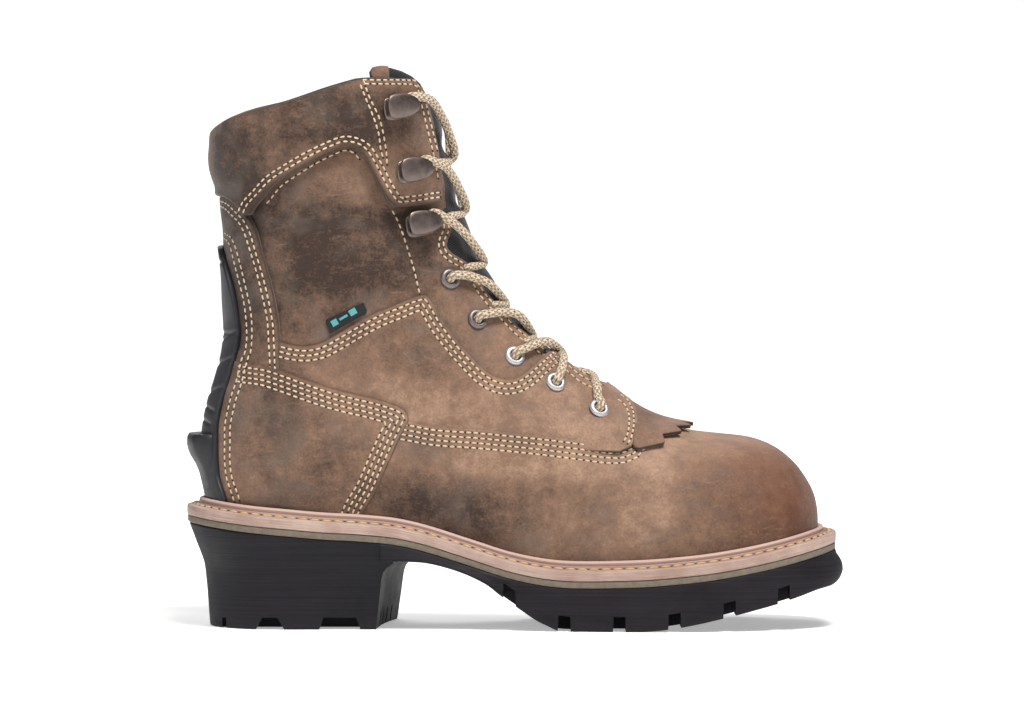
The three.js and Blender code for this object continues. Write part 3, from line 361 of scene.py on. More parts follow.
# Oiled nubuck: full-grain cowhide, buffed to a short nap and filled with oil and wax. It is matte
# and cloudy, pales where it is scuffed or bent, and its cut edges are darker.
leather_finish, tree, shader = new_finish(
    "oiled_nubuck", IOR=1.45, Specular_IOR_Level=0.34, Sheen_Weight=0.12, Sheen_Roughness=0.55)
LEATHER_DARK, LEATHER_MID, LEATHER_LIGHT = linear("#32221a"), linear("#806452"), linear("#b89a82")
LEATHER_RED, LEATHER_EDGE, LEATHER_GREY = linear("#683a21"), linear("#3a281d"), linear("#5f554e")
place_node = add_node(tree, "ShaderNodeTexCoord")
at_object = place_node.outputs["Object"]
cloud = add_node(tree, "ShaderNodeTexNoise", {
    "Vector": at_object, "Scale": 26.0, "Detail": 4.0, "Roughness": 0.55, "Distortion": 0.6})
grey_cloud = add_node(tree, "ShaderNodeTexNoise", {
    "Vector": at_object, "Scale": 41.0, "Detail": 3.0, "Roughness": 0.5, "Distortion": 0.9})
mottle = add_node(tree, "ShaderNodeTexNoise", {
    "Vector": at_object, "Scale": 150.0, "Detail": 5.0, "Roughness": 0.65})
nap = add_node(tree, "ShaderNodeTexNoise", {
    "Vector": at_object, "Scale": 900.0, "Detail": 3.0, "Roughness": 0.7})
stretched = add_node(tree, "ShaderNodeMapping", {
    "Vector": at_object, "Rotation": (0.0, 0.6, 0.0), "Scale": (150.0, 200.0, 460.0)})
scuffs = add_node(tree, "ShaderNodeTexNoise", {
    "Vector": stretched.outputs["Vector"], "Scale": 1.0, "Detail": 4.0, "Distortion": 1.2})
# The tone attribute holds the leather's own colour changes together with painted shade and painted
# highlights.
tone_and_painted_light = add_node(tree, "ShaderNodeAttribute", attribute_name="tone_and_painted_light")
toe_red = add_node(tree, "ShaderNodeAttribute", attribute_name="toe_red")
cut_edge = add_node(tree, "ShaderNodeAttribute", attribute_name="cut_edge")
cloudy = add_node(tree, "ShaderNodeMapRange", {
    "Value": cloud.outputs["Fac"], "From Min": 0.32, "From Max": 0.68, "To Min": -0.26, "To Max": 0.26})
mottled = add_node(tree, "ShaderNodeMapRange", {
    "Value": mottle.outputs["Fac"], "From Min": 0.3, "From Max": 0.7, "To Min": -0.24, "To Max": 0.24})
napped = add_node(tree, "ShaderNodeMapRange", {
    "Value": nap.outputs["Fac"], "From Min": 0.3, "From Max": 0.7, "To Min": -0.18, "To Max": 0.18})
sums = add_node(tree, "ShaderNodeMath", {0: cloudy.outputs[0], 1: mottled.outputs[0]}, operation="ADD")
sums = add_node(tree, "ShaderNodeMath", {0: sums.outputs[0], 1: napped.outputs[0]}, operation="ADD")
sums = add_node(tree, "ShaderNodeMath", {0: sums.outputs[0], 1: tone_and_painted_light.outputs["Fac"]}, operation="ADD")
level = add_node(tree, "ShaderNodeMapRange", {
    "Value": sums.outputs[0], "From Min": -0.9, "From Max": 0.9, "To Min": 0.0, "To Max": 1.0})
ramp = add_node(tree, "ShaderNodeValToRGB", {"Fac": level.outputs[0]})
ramp.color_ramp.elements[0].color = LEATHER_DARK
ramp.color_ramp.elements[1].color = LEATHER_LIGHT
ramp.color_ramp.elements.new(0.5).color = LEATHER_MID
greyed = add_node(tree, "ShaderNodeMapRange", {
    "Value": grey_cloud.outputs["Fac"], "From Min": 0.5, "From Max": 0.72, "To Min": 0.0, "To Max": 0.55})
with_grey = add_node(tree, "ShaderNodeMix", {
    "Factor": greyed.outputs[0], "A": ramp.outputs["Color"], "B": LEATHER_GREY}, data_type="RGBA")
reddened = add_node(tree, "ShaderNodeMath", {0: toe_red.outputs["Fac"], 1: 0.62}, operation="MULTIPLY")
with_red = add_node(tree, "ShaderNodeMix", {
    "Factor": reddened.outputs[0], "A": with_grey.outputs["Result"], "B": LEATHER_RED}, data_type="RGBA")
scuffed = add_node(tree, "ShaderNodeMapRange", {
    "Value": scuffs.outputs["Fac"], "From Min": 0.58, "From Max": 0.78, "To Min": 0.0, "To Max": 0.16})
with_scuffs = add_node(tree, "ShaderNodeMix", {
    "Factor": scuffed.outputs[0], "A": with_red.outputs["Result"], "B": LEATHER_LIGHT}, data_type="RGBA")
with_edge = add_node(tree, "ShaderNodeMix", {
    "Factor": cut_edge.outputs["Fac"], "A": with_scuffs.outputs["Result"],
    "B": LEATHER_EDGE}, data_type="RGBA")
tree.links.new(with_edge.outputs["Result"], shader.inputs["Base Color"])
matte = add_node(tree, "ShaderNodeMapRange", {
    "Value": mottle.outputs["Fac"], "From Min": 0.3, "From Max": 0.7, "To Min": 0.58, "To Max": 0.78})
tree.links.new(matte.outputs[0], shader.inputs["Roughness"])
pebbles = add_node(tree, "ShaderNodeTexNoise", {
    "Vector": at_object, "Scale": 320.0, "Detail": 4.0, "Roughness": 0.6, "Distortion": 0.4})
pebble_bump = add_node(tree, "ShaderNodeBump", {
    "Height": pebbles.outputs["Fac"], "Strength": 0.42, "Distance": 0.0009})
nap_bump = add_node(tree, "ShaderNodeBump", {
    "Height": nap.outputs["Fac"], "Strength": 0.28, "Distance": 0.0004,
    "Normal": pebble_bump.outputs["Normal"]})
tree.links.new(nap_bump.outputs["Normal"], shader.inputs["Normal"])


PROBE_STEPS = 150
SNAP = 0.22
BEVEL_STEPS = 3
TONE_LOW, TONE_HIGH = -0.78, 0.6


def cut_sheet(field, span, step):
    """A grid on the last, cut where the field of depth is zero: places, faces and rims in order."""
    (u0, u1), (v0, v1) = span
    ends = PROBE_STEPS - 1
    probe = np.meshgrid(np.linspace(u0, u1, PROBE_STEPS), np.linspace(v0, v1, PROBE_STEPS), indexing="ij")
    inside = field(*probe) > -step
    rows, cols = np.where(inside.any(1))[0], np.where(inside.any(0))[0]
    pad = 2
    ua, ub = (probe[0][max(rows[0] - pad, 0), 0], probe[0][min(rows[-1] + pad, ends), 0])
    va, vb = (probe[1][0, max(cols[0] - pad, 0)], probe[1][0, min(cols[-1] + pad, ends)])
    sample = on_last(*probe)[0]
    tall = np.linalg.norm(np.diff(sample, axis=0), axis=2)[inside[1:]].mean() * ends / (u1 - u0)
    wide = np.linalg.norm(np.diff(sample, axis=1), axis=2)[inside[:, 1:]].mean() * ends / (v1 - v0)
    nu = max(4, int((ub - ua) * tall / step))
    nv = max(4, int((vb - va) * wide / step))
    u, v = np.meshgrid(np.linspace(ua, ub, nu + 1), np.linspace(va, vb, nv + 1), indexing="ij")
    depth = field(u, v)
    small = 1e-4
    slope_u = (field(u + small, v) - depth) / small
    slope_v = (field(u, v + small) - depth) / small
    near = np.abs(depth) < SNAP * step
    steep = slope_u**2 + slope_v**2 + 1e-9
    u = np.where(near, u - depth * slope_u / steep, u)
    v = np.where(near, v - depth * slope_v / steep, v)
    depth = np.where(near, 0.0, depth)
    u, v, depth = u.ravel(), v.ravel(), depth.ravel()
    index = np.arange(len(u)).reshape(nu + 1, nv + 1)
    cells = np.stack([index[:-1, :-1], index[1:, :-1], index[1:, 1:], index[:-1, 1:]], axis=2)
    cells = cells.reshape(-1, 4)
    kept = (depth[cells] >= 0).all(1) & (depth[cells] > 0).any(1)
    mixed = (depth[cells] > 0).any(1) & (depth[cells] < 0).any(1)
    faces = [tuple(c) for c in cells[kept]]
    crossings = {}
    for cell in cells[mixed]:
        for triangle in ((cell[0], cell[1], cell[2]), (cell[0], cell[2], cell[3])):
            if not (depth[list(triangle)] > 0).any():
                continue
            corners = []
            for k in range(3):
                a, b = triangle[k], triangle[(k + 1) % 3]
                if depth[a] >= 0:
                    corners.append(a)
                if depth[a] * depth[b] < 0:
                    key = (min(a, b), max(a, b))
                    corners.append(crossings.setdefault(key, len(u) + len(crossings)))
            if len(corners) >= 3:
                faces.append(tuple(corners))
    pairs = np.array(list(crossings), int).reshape(-1, 2)
    low, high = pairs[:, 0], pairs[:, 1]
    share = depth[low] / (depth[low] - depth[high])
    for _ in range(2):
        here = field(u[low] + share * (u[high] - u[low]), v[low] + share * (v[high] - v[low]))
        step_on = here / (np.abs(depth[low] - depth[high]) + 1e-9) * np.sign(depth[low])
        share = np.clip(share + step_on, 0.02, 0.98)
    u = np.concatenate([u, u[low] + share * (u[high] - u[low])])
    v = np.concatenate([v, v[low] + share * (v[high] - v[low])])
    used = np.unique(np.concatenate([np.array(f) for f in faces]))
    renumber = np.full(len(u), -1)
    renumber[used] = np.arange(len(used))
    faces = [tuple(int(renumber[c]) for c in f) for f in faces]
    following = {}
    edges = {(f[k], f[(k + 1) % len(f)]) for f in faces for k in range(len(f))}
    for a, b in edges:
        if (b, a) not in edges:
            following[a] = b
    rims = []
    while following:
        start, here = following.popitem()
        rim = [start]
        while here != start and here in following:
            rim.append(here)
            here = following.pop(here)
        rims.append(rim)
    return u[used], v[used], faces, rims


def keep_attribute(mesh, name, values):
    mesh.attributes.new(name, "FLOAT", "POINT").data.foreach_set("value", np.asarray(values, np.float32))


def new_piece(name, points, faces, finish, slot, nodes=(), smooth=True):
    """A mesh in metres, from points in millimetres, as a piece that rides on the boot."""
    mesh = bpy.data.meshes.new(name)
    mesh.from_pydata([tuple(p) for p in np.asarray(points) * MM], [], faces)
    mesh.materials.append(finish)
    mesh.polygons.foreach_set("use_smooth", [smooth] * len(mesh.polygons))
    mesh.update()
    piece = bpy.data.objects.new(name, mesh)
    bpy.context.scene.collection.objects.link(piece)
    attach(piece, "root")
    if nodes:
        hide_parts(*nodes)
    return piece


def as_heights(value, point):
    return value(point) if callable(value) else np.full(len(point), float(value))


def panel(name, field, span, low, high, bevel, step, finish, slot, nodes=(), bumps=relief, darker=0.0):
    """A piece cut from sheet: its outline is where the field is zero, it lies between two heights
    over the last, and its upper edge is rounded."""
    u, v, faces, rims = cut_sheet(lambda a, b: field(a, b) - bevel, span, step)
    point, normal = on_last(u, v)
    swell = bumps(point) if bumps else 0.0
    top_height = as_heights(high, point) + swell
    low_height = as_heights(low, point) + swell
    top = point + normal * top_height[:, None]
    bottom = point + normal * low_height[:, None]
    a, b, c = (top[faces[0][k]] for k in range(3))
    if np.dot(np.cross(b - a, c - a), normal[faces[0][0]]) < 0:
        faces = [tuple(reversed(f)) for f in faces]
        rims = [list(reversed(rim)) for rim in rims]
    points = [top]
    all_faces = list(faces)
    edge = [np.zeros(len(top))]
    count = len(top)
    bottom_start = count + sum(len(rim) for rim in rims) * BEVEL_STEPS
    for rim in rims:
        ring = np.array(rim)
        before, after = np.roll(ring, 1), np.roll(ring, -1)
        tangent = top[after] - top[before]
        out = np.cross(tangent, normal[ring])
        out /= np.linalg.norm(out, axis=1, keepdims=True) + 1e-9
        starts = [ring]
        for k in range(1, BEVEL_STEPS + 1):
            turn = k * math.pi / (2 * BEVEL_STEPS)
            drop = bevel * (1 - math.cos(turn))
            points.append(top[ring] + out * (bevel * math.sin(turn)) - normal[ring] * drop)
            edge.append(np.full(len(ring), k / BEVEL_STEPS))
            starts.append(np.arange(count, count + len(ring)))
            count += len(ring)
        bottom[ring] = bottom[ring] + out * bevel
        starts.append(ring + bottom_start)
        for one, two in zip(starts[:-1], starts[1:]):
            after_one, after_two = np.roll(one, -1), np.roll(two, -1)
            all_faces += [tuple(map(int, f)) for f in np.stack([after_one, one, two, after_two], axis=1)]
    points.append(bottom)
    edge.append(np.full(len(bottom), 1.0))
    all_faces += [tuple(bottom_start + c for c in reversed(f)) for f in faces]
    points = np.concatenate(points)
    piece = new_piece(name, points, all_faces, finish, slot, nodes)
    keep_attribute(piece.data, "cut_edge", np.concatenate(edge))
    # Tones of the leather, with painted shade and painted highlights among them.
    keep_attribute(piece.data, "tone_and_painted_light", np.clip(blobs(TONES_AND_PAINTED_LIGHT, points) - darker, TONE_LOW, TONE_HIGH))
    keep_attribute(piece.data, "toe_red", np.clip(blobs(TOE_RED, points), 0, 1))
    return piece


# Upper. The wall of leather and lining under the overlays, open at the collar, down the throat and
# underneath. Its parts that show are the shaft between the overlays and the leather at the eyelets.
LEATHER = 2.4
FAR = 0.6 * LENGTH
WELT_UNDERSIDE = place([
    (0.000, 0.199), (0.017, 0.197), (0.097, 0.185), (0.168, 0.177), (0.216, 0.172), (0.264, 0.169),
    (0.312, 0.164), (0.345, 0.157), (0.374, 0.148), (0.401, 0.138), (0.443, 0.122), (0.486, 0.106),
    (0.528, 0.095), (0.570, 0.089), (0.611, 0.088), (0.653, 0.089), (0.696, 0.091), (0.738, 0.095),
    (0.780, 0.100), (0.821, 0.107), (0.863, 0.116), (0.906, 0.127), (0.948, 0.139), (1.000, 0.154)])
FLANGE_TOP = 6.2
BEAD_HEIGHT = 2.8


# A straight side view 1024 wide: its step in millimetres at the boot's middle, how far off and how
# high the eye is, and the place in the view that is level with it.
VIEW_STEP, EYE_AWAY, EYE_HEIGHT, EYE_LEVEL = 0.4725, 2200, 154, (514.4, 298)


def seen_at(points, depth=30.0):
    """Side-view places in millimetres from places in the view, at a depth towards the eye."""
    scale = VIEW_STEP * (1 - depth / EYE_AWAY)
    return (np.asarray(points, float) - EYE_LEVEL) * (scale, -scale) + (0, EYE_HEIGHT)


COLLAR_TOP = seen_at([
    (209, 138), (212, 131.5), (217, 126), (233.6, 116.3), (253.5, 110.2), (272, 106.2), (287, 102.6),
    (310, 95), (325, 89.8), (348, 82.8), (361, 79.8), (385, 78.8), (410, 78.8), (424, 79.5), (440, 83)], 36.0)
THROAT_EDGE = seen_at([
    (414, 60), (421, 77), (426, 92), (430, 104), (434, 118), (437, 132), (440, 150), (442.5, 165), (446, 180),
    (448, 192), (449.5, 203), (451.5, 215), (452.5, 228), (449.5, 237), (447, 243),
    (449, 249), (456, 254.5),
    (466, 260), (474, 268), (481, 279), (488, 291), (497, 302.5), (508, 314), (518, 324), (529, 333.5),
    (540, 342), (552, 351), (563, 360), (574, 369), (586, 379), (598, 386), (612, 392.5),
    (624, 399), (640, 407)])
throat_line = smooth_line(THROAT_EDGE)
throat_area = np.concatenate([throat_line, [
    (FAR, throat_line[-1, 1]), (FAR, 1.3 * HEIGHT), (throat_line[0, 0], 1.3 * HEIGHT)]])
welt_line = smooth_line(WELT_UNDERSIDE)


def welt_level(x):
    return np.interp(x, welt_line[:, 0], welt_line[:, 1])


def level_line(rise):
    x = np.linspace(-FAR, FAR, 160)
    return np.stack([x, welt_level(x) + rise], axis=1)


def collar_line(drop=0.0):
    line = smooth_line(COLLAR_TOP)
    return np.concatenate([[(-FAR, line[0, 1] - 12)], line, [(FAR, line[-1, 1])]]) - (0, drop)


def throat_depth(u, v, point):
    """How far a point of the leather lies from the throat's edge."""
    from_front = np.abs((v + 1) % 2 - 1)
    return np.where(from_front < 0.6, -region_depth(throat_area, point[..., 0], point[..., 2]), 99.0)


def region(*parts, throat=False, side=0):
    """The depth field of a piece inside a side-view outline, kept off the throat or on one side."""
    outline = np.concatenate([np.asarray(part, float).reshape(-1, 2) for part in parts])

    def field(u, v):
        point = on_last(u, v)[0]
        depth = region_depth(outline, point[..., 0], point[..., 2])
        if throat:
            depth = np.minimum(depth, throat_depth(u, v, point))
        if side != 0:
            depth = np.minimum(depth, point[..., 1] * side)
        return depth
    return field


ROUND_THE_BACK = ((0.3, 1.0), (0.02, 1.98))
OVER_THE_TOE = ((0.0002, 0.62), (-1.0, 1.0))
OUTER_SIDE = ((0.2, 1.0), (-0.75, -0.002))
INNER_SIDE = ((0.2, 1.0), (0.002, 0.75))
upper_field = region(
    level_line(FLANGE_TOP + 0.6)[level_line(0)[:, 0] < 0.2 * LENGTH],
    [(0.2 * LENGTH, 0.6 * HEIGHT), (FAR, HEIGHT)], collar_line(2.0)[::-1], throat=True)
COLLAR_EDGE = place([
    (0.020, 0.768), (0.056, 0.767), (0.076, 0.759), (0.092, 0.741), (0.105, 0.726), (0.114, 0.744),
    (0.128, 0.763), (0.146, 0.786), (0.174, 0.808), (0.201, 0.827), (0.229, 0.843), (0.245, 0.850),
    (0.261, 0.847), (0.272, 0.835), (0.286, 0.805), (0.300, 0.773), (0.317, 0.747), (0.339, 0.745),
    (0.410, 0.754), (0.500, 0.754)])
collar_edge_line = smooth_line(COLLAR_EDGE)


def line_gap(line, point):
    """Distance in the side view from a line."""
    q = point[..., [0, 2]].reshape(-1, 2)
    made = np.empty(len(q))
    for start in range(0, len(q), 4000):
        made[start:start + 4000] = np.sqrt(
            ((q[start:start + 4000, None] - line) ** 2).sum(2).min(1))
    return made.reshape(point.shape[:-1])


def shaft_height(point):
    return -1.7 * np.exp(-(line_gap(collar_edge_line, point) / 8.0) ** 2)


panel("upper", upper_field, ROUND_THE_BACK, -LEATHER - 0.4, shaft_height, 0.9, 1.8, leather_finish, "leather",
      ["upper"])


# Vamp. One heavy piece of the same leather from the toe to the waist. Its rear edge laps over the
# quarters and is held by four rows of stitches, and it hides a hard toe cap.
VAMP_RISE = 2.1
VAMP_LAP = place([
    (0.668, 0.36), (0.672, 0.347), (0.671, 0.333), (0.660, 0.325), (0.640, 0.325), (0.610, 0.330),
    (0.556, 0.339), (0.499, 0.347), (0.442, 0.354), (0.385, 0.359), (0.347, 0.367), (0.322, 0.372)])
vamp_field = region(
    level_line(FLANGE_TOP + 0.6), place([(1.1, 0.5), (0.668, 0.5)]), smooth_line(VAMP_LAP),
    place([(0.22, 0.18)]))
panel("vamp", vamp_field, OVER_THE_TOE, -0.2, VAMP_RISE, 0.8, 2.2, leather_finish, "leather")


# Quarters. Two lighter pieces that carry the lower eyelets, one on each side. Their lower edges go
# under the vamp, and their front ends lie over the kiltie.
QUARTER_TOP = place([
    (0.152, 0.506), (0.168, 0.501), (0.188, 0.499), (0.207, 0.503), (0.226, 0.514), (0.259, 0.537),
    (0.292, 0.558), (0.324, 0.573), (0.342, 0.582), (0.363, 0.589), (0.373, 0.582), (0.393, 0.541),
    (0.419, 0.501), (0.442, 0.471), (0.459, 0.452), (0.476, 0.441), (0.494, 0.439), (0.511, 0.447),
    (0.528, 0.464), (0.552, 0.489)])
QUARTER_FRONT = place([
    (0.655, 0.408), (0.667, 0.398), (0.676, 0.383), (0.681, 0.367), (0.682, 0.345), (0.679, 0.326),
    (0.673, 0.313)])
quarter_outline = [
    smooth_line(QUARTER_TOP), place([(0.60, 0.56), (0.66, 0.44)]), smooth_line(QUARTER_FRONT),
    place([(0.655, 0.305), (0.50, 0.325), (0.30, 0.30), (0.09, 0.30), (0.09, 0.50)])]


def quarter_height(point):
    front = smoothstep(point[..., 0], 0.085 * LENGTH, 0.150 * LENGTH)
    return 1.8 + 2.4 * front


for quarter_name, quarter_side, quarter_span in (
        ("quarter_lateral", -1, OUTER_SIDE), ("quarter_medial", 1, INNER_SIDE)):
    panel(quarter_name, region(*quarter_outline, throat=True, side=quarter_side),
          quarter_span, -0.4, quarter_height, 0.7, 1.5, leather_finish, "leather", [quarter_name])


# Counter. A stiff piece cupped round the heel, sewn over the quarters with four rows of stitches.
COUNTER_EDGE = place([
    (0.060, 0.475), (0.097, 0.469), (0.130, 0.464), (0.162, 0.452), (0.194, 0.438), (0.227, 0.425),
    (0.259, 0.415), (0.292, 0.406), (0.324, 0.394), (0.337, 0.384), (0.342, 0.371), (0.337, 0.356),
    (0.324, 0.325), (0.308, 0.283), (0.292, 0.241), (0.275, 0.209), (0.268, 0.19)])
COUNTER_RISE = 3.0
counter_line = smooth_line(COUNTER_EDGE)
counter_field = region(
    [(-FAR, 0.49 * HEIGHT)], counter_line, level_line(FLANGE_TOP + 0.6)[level_line(0)[:, 0] < -75][::-1])
panel("counter", counter_field, ROUND_THE_BACK, -0.4, COUNTER_RISE, 0.8, 1.7, leather_finish, "leather",
      ["counter"])


# Back strap. A strip of leather over the seam up the back, from the counter to the collar.
STRAP_EDGE = place([
    (0.049, 0.765), (0.063, 0.765), (0.076, 0.759), (0.092, 0.741), (0.104, 0.725), (0.114, 0.701),
    (0.124, 0.665), (0.132, 0.632), (0.140, 0.594), (0.146, 0.557), (0.149, 0.519), (0.151, 0.44)])
STRAP_RISE = 2.4
strap_line = smooth_line(STRAP_EDGE)
strap_field = region([(-FAR, 0.79 * HEIGHT), (-134, 0.79 * HEIGHT)], strap_line, [(-FAR, 0.44 * HEIGHT)])
panel("back_strap", strap_field, ROUND_THE_BACK, -0.4, STRAP_RISE, 0.7, 1.5, leather_finish,
      "leather", ["back_strap"])


# Collar band. Leather over foam, round the top of the shaft and down beside the hooks. It stands
# proud of the shaft, and its rows of stitches pull it in along its lower edge.
COLLAR_RISE = 4.6
collar_top_line = collar_line()
collar_outline = np.concatenate([[(-FAR, 0.768 * HEIGHT)], collar_edge_line, collar_top_line[::-1]])


def collar_height(point):
    below = line_gap(collar_edge_line, point)
    above = line_gap(collar_top_line, point)
    sewn = 0.55 * np.exp(-((below - 3.4) / 2.4) ** 2)
    crown = 1.0 * smoothstep(below, 4, 14) * smoothstep(above, 0, 9)
    return COLLAR_RISE + 0.2 + crown - sewn - 1.2 * np.exp(-above / 2.0)


collar_body = region(collar_outline)


def collar_field(u, v):
    point = on_last(u, v)[0]
    return np.minimum(collar_body(u, v), throat_depth(u, v, point) - 4.6)


panel("collar_band", collar_field, ROUND_THE_BACK, -0.4, collar_height, 1.6, 1.5,
      leather_finish, "leather", ["collar_band"])


# Lining. Dark brushed cloth over foam inside the shaft. It comes up between the leathers and shows
# as a thin trim along the collar.
def grained_finish(name, dark, light, grain, bump=None, rough=None, **constants):
    """A finish of two tones in one grain: its scale, detail and roughness. The grain also raises a
    bump, with a strength and a distance, and moves the roughness between two values."""
    finish, tree, shader = new_finish(name, **constants)
    at = add_node(tree, "ShaderNodeTexCoord")
    noise = add_node(tree, "ShaderNodeTexNoise", {
        "Vector": at.outputs["Object"], "Scale": grain[0], "Detail": grain[1], "Roughness": grain[2]})
    tones = add_node(tree, "ShaderNodeMix", {
        "Factor": noise.outputs["Fac"], "A": linear(dark), "B": linear(light)}, data_type="RGBA")
    tree.links.new(tones.outputs["Result"], shader.inputs["Base Color"])
    if bump:
        raised = add_node(tree, "ShaderNodeBump", {
            "Height": noise.outputs["Fac"], "Strength": bump[0], "Distance": bump[1]})
        tree.links.new(raised.outputs["Normal"], shader.inputs["Normal"])
    if rough:
        worn = add_node(tree, "ShaderNodeMapRange", {
            "Value": noise.outputs["Fac"], "From Min": 0.3, "From Max": 0.7,
            "To Min": rough[0], "To Max": rough[1]})
        tree.links.new(worn.outputs[0], shader.inputs["Roughness"])
    return finish


lining_finish = grained_finish(
    "brushed_lining", "#1d1b1b", "#4b4643", (700.0, 4.0, 0.7), (0.5, 0.0006), Roughness=0.95,
    Sheen_Weight=0.35, Sheen_Roughness=0.5, Specular_IOR_Level=0.2)
lining_body = region(
    [(-FAR, 66), (0.3 * LENGTH, 66), (0.3 * LENGTH, HEIGHT)], collar_line(-0.9)[::-1])


def lining_field(u, v):
    point = on_last(u, v)[0]
    return np.minimum(lining_body(u, v), throat_depth(u, v, point) - 11)


panel("lining", lining_field, ROUND_THE_BACK, -3.5,
      lambda point: np.where(line_gap(collar_top_line, point) < 7, 0.4, -LEATHER + 0.1), 1.2, 2.4,
      lining_finish, "tongue_cloth", bumps=None)


# Heel guard. A skin of black rubber moulded up the back, with thin grooves in pairs. A ledge to
# push the boot off with stands out over the welt.
guard_finish, tree, shader = new_finish(
    "moulded_rubber_guard", IOR=1.5, Specular_IOR_Level=0.42)
place_node = add_node(tree, "ShaderNodeTexCoord")
guard_dust = add_node(tree, "ShaderNodeTexNoise", {
    "Vector": place_node.outputs["Object"], "Scale": 60.0, "Detail": 4.0, "Roughness": 0.6})
guard_colour = add_node(tree, "ShaderNodeMix", {
    "Factor": guard_dust.outputs["Fac"], "A": linear("#15151a"), "B": linear("#26272d")}, data_type="RGBA")
tree.links.new(guard_colour.outputs["Result"], shader.inputs["Base Color"])
guard_rough = add_node(tree, "ShaderNodeMapRange", {
    "Value": guard_dust.outputs["Fac"], "From Min": 0.3, "From Max": 0.7, "To Min": 0.42, "To Max": 0.58})
tree.links.new(guard_rough.outputs[0], shader.inputs["Roughness"])
guard_grit = add_node(tree, "ShaderNodeTexNoise", {
    "Vector": place_node.outputs["Object"], "Scale": 1400.0, "Detail": 2.0})
guard_bump = add_node(tree, "ShaderNodeBump", {
    "Height": guard_grit.outputs["Fac"], "Strength": 0.15, "Distance": 0.0004})
tree.links.new(guard_bump.outputs["Normal"], shader.inputs["Normal"])
GUARD_EDGE = place([
    (0.055, 0.683), (0.059, 0.683), (0.067, 0.680), (0.075, 0.651), (0.085, 0.609), (0.093, 0.561),
    (0.096, 0.526), (0.094, 0.495), (0.089, 0.471), (0.081, 0.438), (0.072, 0.405), (0.064, 0.362),
    (0.063, 0.334), (0.063, 0.300), (0.066, 0.266), (0.072, 0.243), (0.078, 0.222)])
GUARD_RISE = 5.3
GUARD_GROOVES = [
    [(-140, 174.0), (-131, 170.6)], [(-139, 142.8), (-131, 136.9), (-127.2, 137.5), (-137, 131)],
    [(-140, 128.9), (-134.5, 122.3), (-131.5, 123.2), (-140, 118.9)],
    [(-144, 112.8), (-139.4, 107.7), (-135, 110), (-142.5, 106.3)],
    [(-146, 104.5), (-137, 100.5)], [(-147, 98.5), (-138.5, 94.5)]]
guard_line = smooth_line(GUARD_EDGE)


def guard_height(point):
    dent = np.zeros(point.shape[:-1])
    for groove in GUARD_GROOVES:
        for (x0, z0), (x1, z1) in zip(groove[:-1], groove[1:]):
            along = np.array([x1 - x0, z1 - z0])
            q = point[..., [0, 2]] - (x0, z0)
            t = np.clip((q * along).sum(-1) / (along**2).sum(), -0.6, 1)
            gap = np.linalg.norm(q - t[..., None] * along, axis=-1)
            dent = np.maximum(dent, np.exp(-(gap / 0.7) ** 2))
    return GUARD_RISE - 0.6 * dent


panel("heel_guard", region([(-FAR, 0.683 * HEIGHT)], guard_line, level_line(FLANGE_TOP + 2.4)[
    level_line(0)[:, 0] < -131][::-1]), ((0.3, 0.97), (0.55, 1.45)), 1.2, guard_height, 0.9, 0.8,
    guard_finish, "guard_rubber", ["heel_guard"], bumps=None)
LEDGE = [(3.2, 0.338), (9.4, 0.3395), (11.0, 0.3385), (11.7, 0.332), (11.6, 0.321), (10.9, 0.312),
         (9.9, 0.304), (7.6, 0.290), (6.2, 0.276), (5.6, 0.262), (5.3, 0.245), (3.2, 0.240)]
heel_column_z = last_points[:, :, 2] / HEIGHT
LEDGE_SPREAD, LEDGE_ROOT, LEDGE_FADE = 0.36, 0.8, 3.6
ledge_rows = []
for ledge_v in np.linspace(1 - LEDGE_SPREAD, 1 + LEDGE_SPREAD, 121):
    column = int(round(((ledge_v + 1) % 2) * COLUMNS_ROUND))
    climb = slice(int(0.5 * ROWS_ALONG), int(0.75 * ROWS_ALONG))
    ledge_u = np.interp([share for _, share in LEDGE], heel_column_z[climb, column],
                        np.arange(ROWS_ALONG)[climb] / (ROWS_ALONG - 1))
    ledge_point, ledge_out = on_last(ledge_u, np.full(len(LEDGE), ledge_v))
    edge_x = np.interp(-ledge_point[:, 2], -guard_line[:, 1], guard_line[:, 0]) - LEDGE_ROOT
    fade = np.clip((edge_x - ledge_point[:, 0]) / LEDGE_FADE, 0, 1) ** 0.5
    reach = LEDGE_ROOT + (np.array([far for far, _ in LEDGE]) - LEDGE_ROOT) * fade
    ledge_rows.append(ledge_point + ledge_out * reach[:, None])


def loft(rows, closed=True):
    """Faces and points through rows of points, with both ends lidded."""
    count = len(rows[0])
    faces = []
    for r in range(len(rows) - 1):
        for i in range(count if closed else count - 1):
            j = (i + 1) % count
            faces.append((r * count + i, r * count + j, (r + 1) * count + j, (r + 1) * count + i))
    faces.append(tuple(range(count))[::-1])
    faces.append(tuple((len(rows) - 1) * count + i for i in range(count)))
    return np.concatenate(rows), faces


def face_outwards(piece):
    grown = bmesh.new()
    grown.from_mesh(piece.data)
    bmesh.ops.recalc_face_normals(grown, faces=grown.faces)
    grown.to_mesh(piece.data)
    grown.free()


ledge_piece = new_piece("kick_ledge", *loft(ledge_rows), guard_finish, "guard_rubber")
face_outwards(ledge_piece)


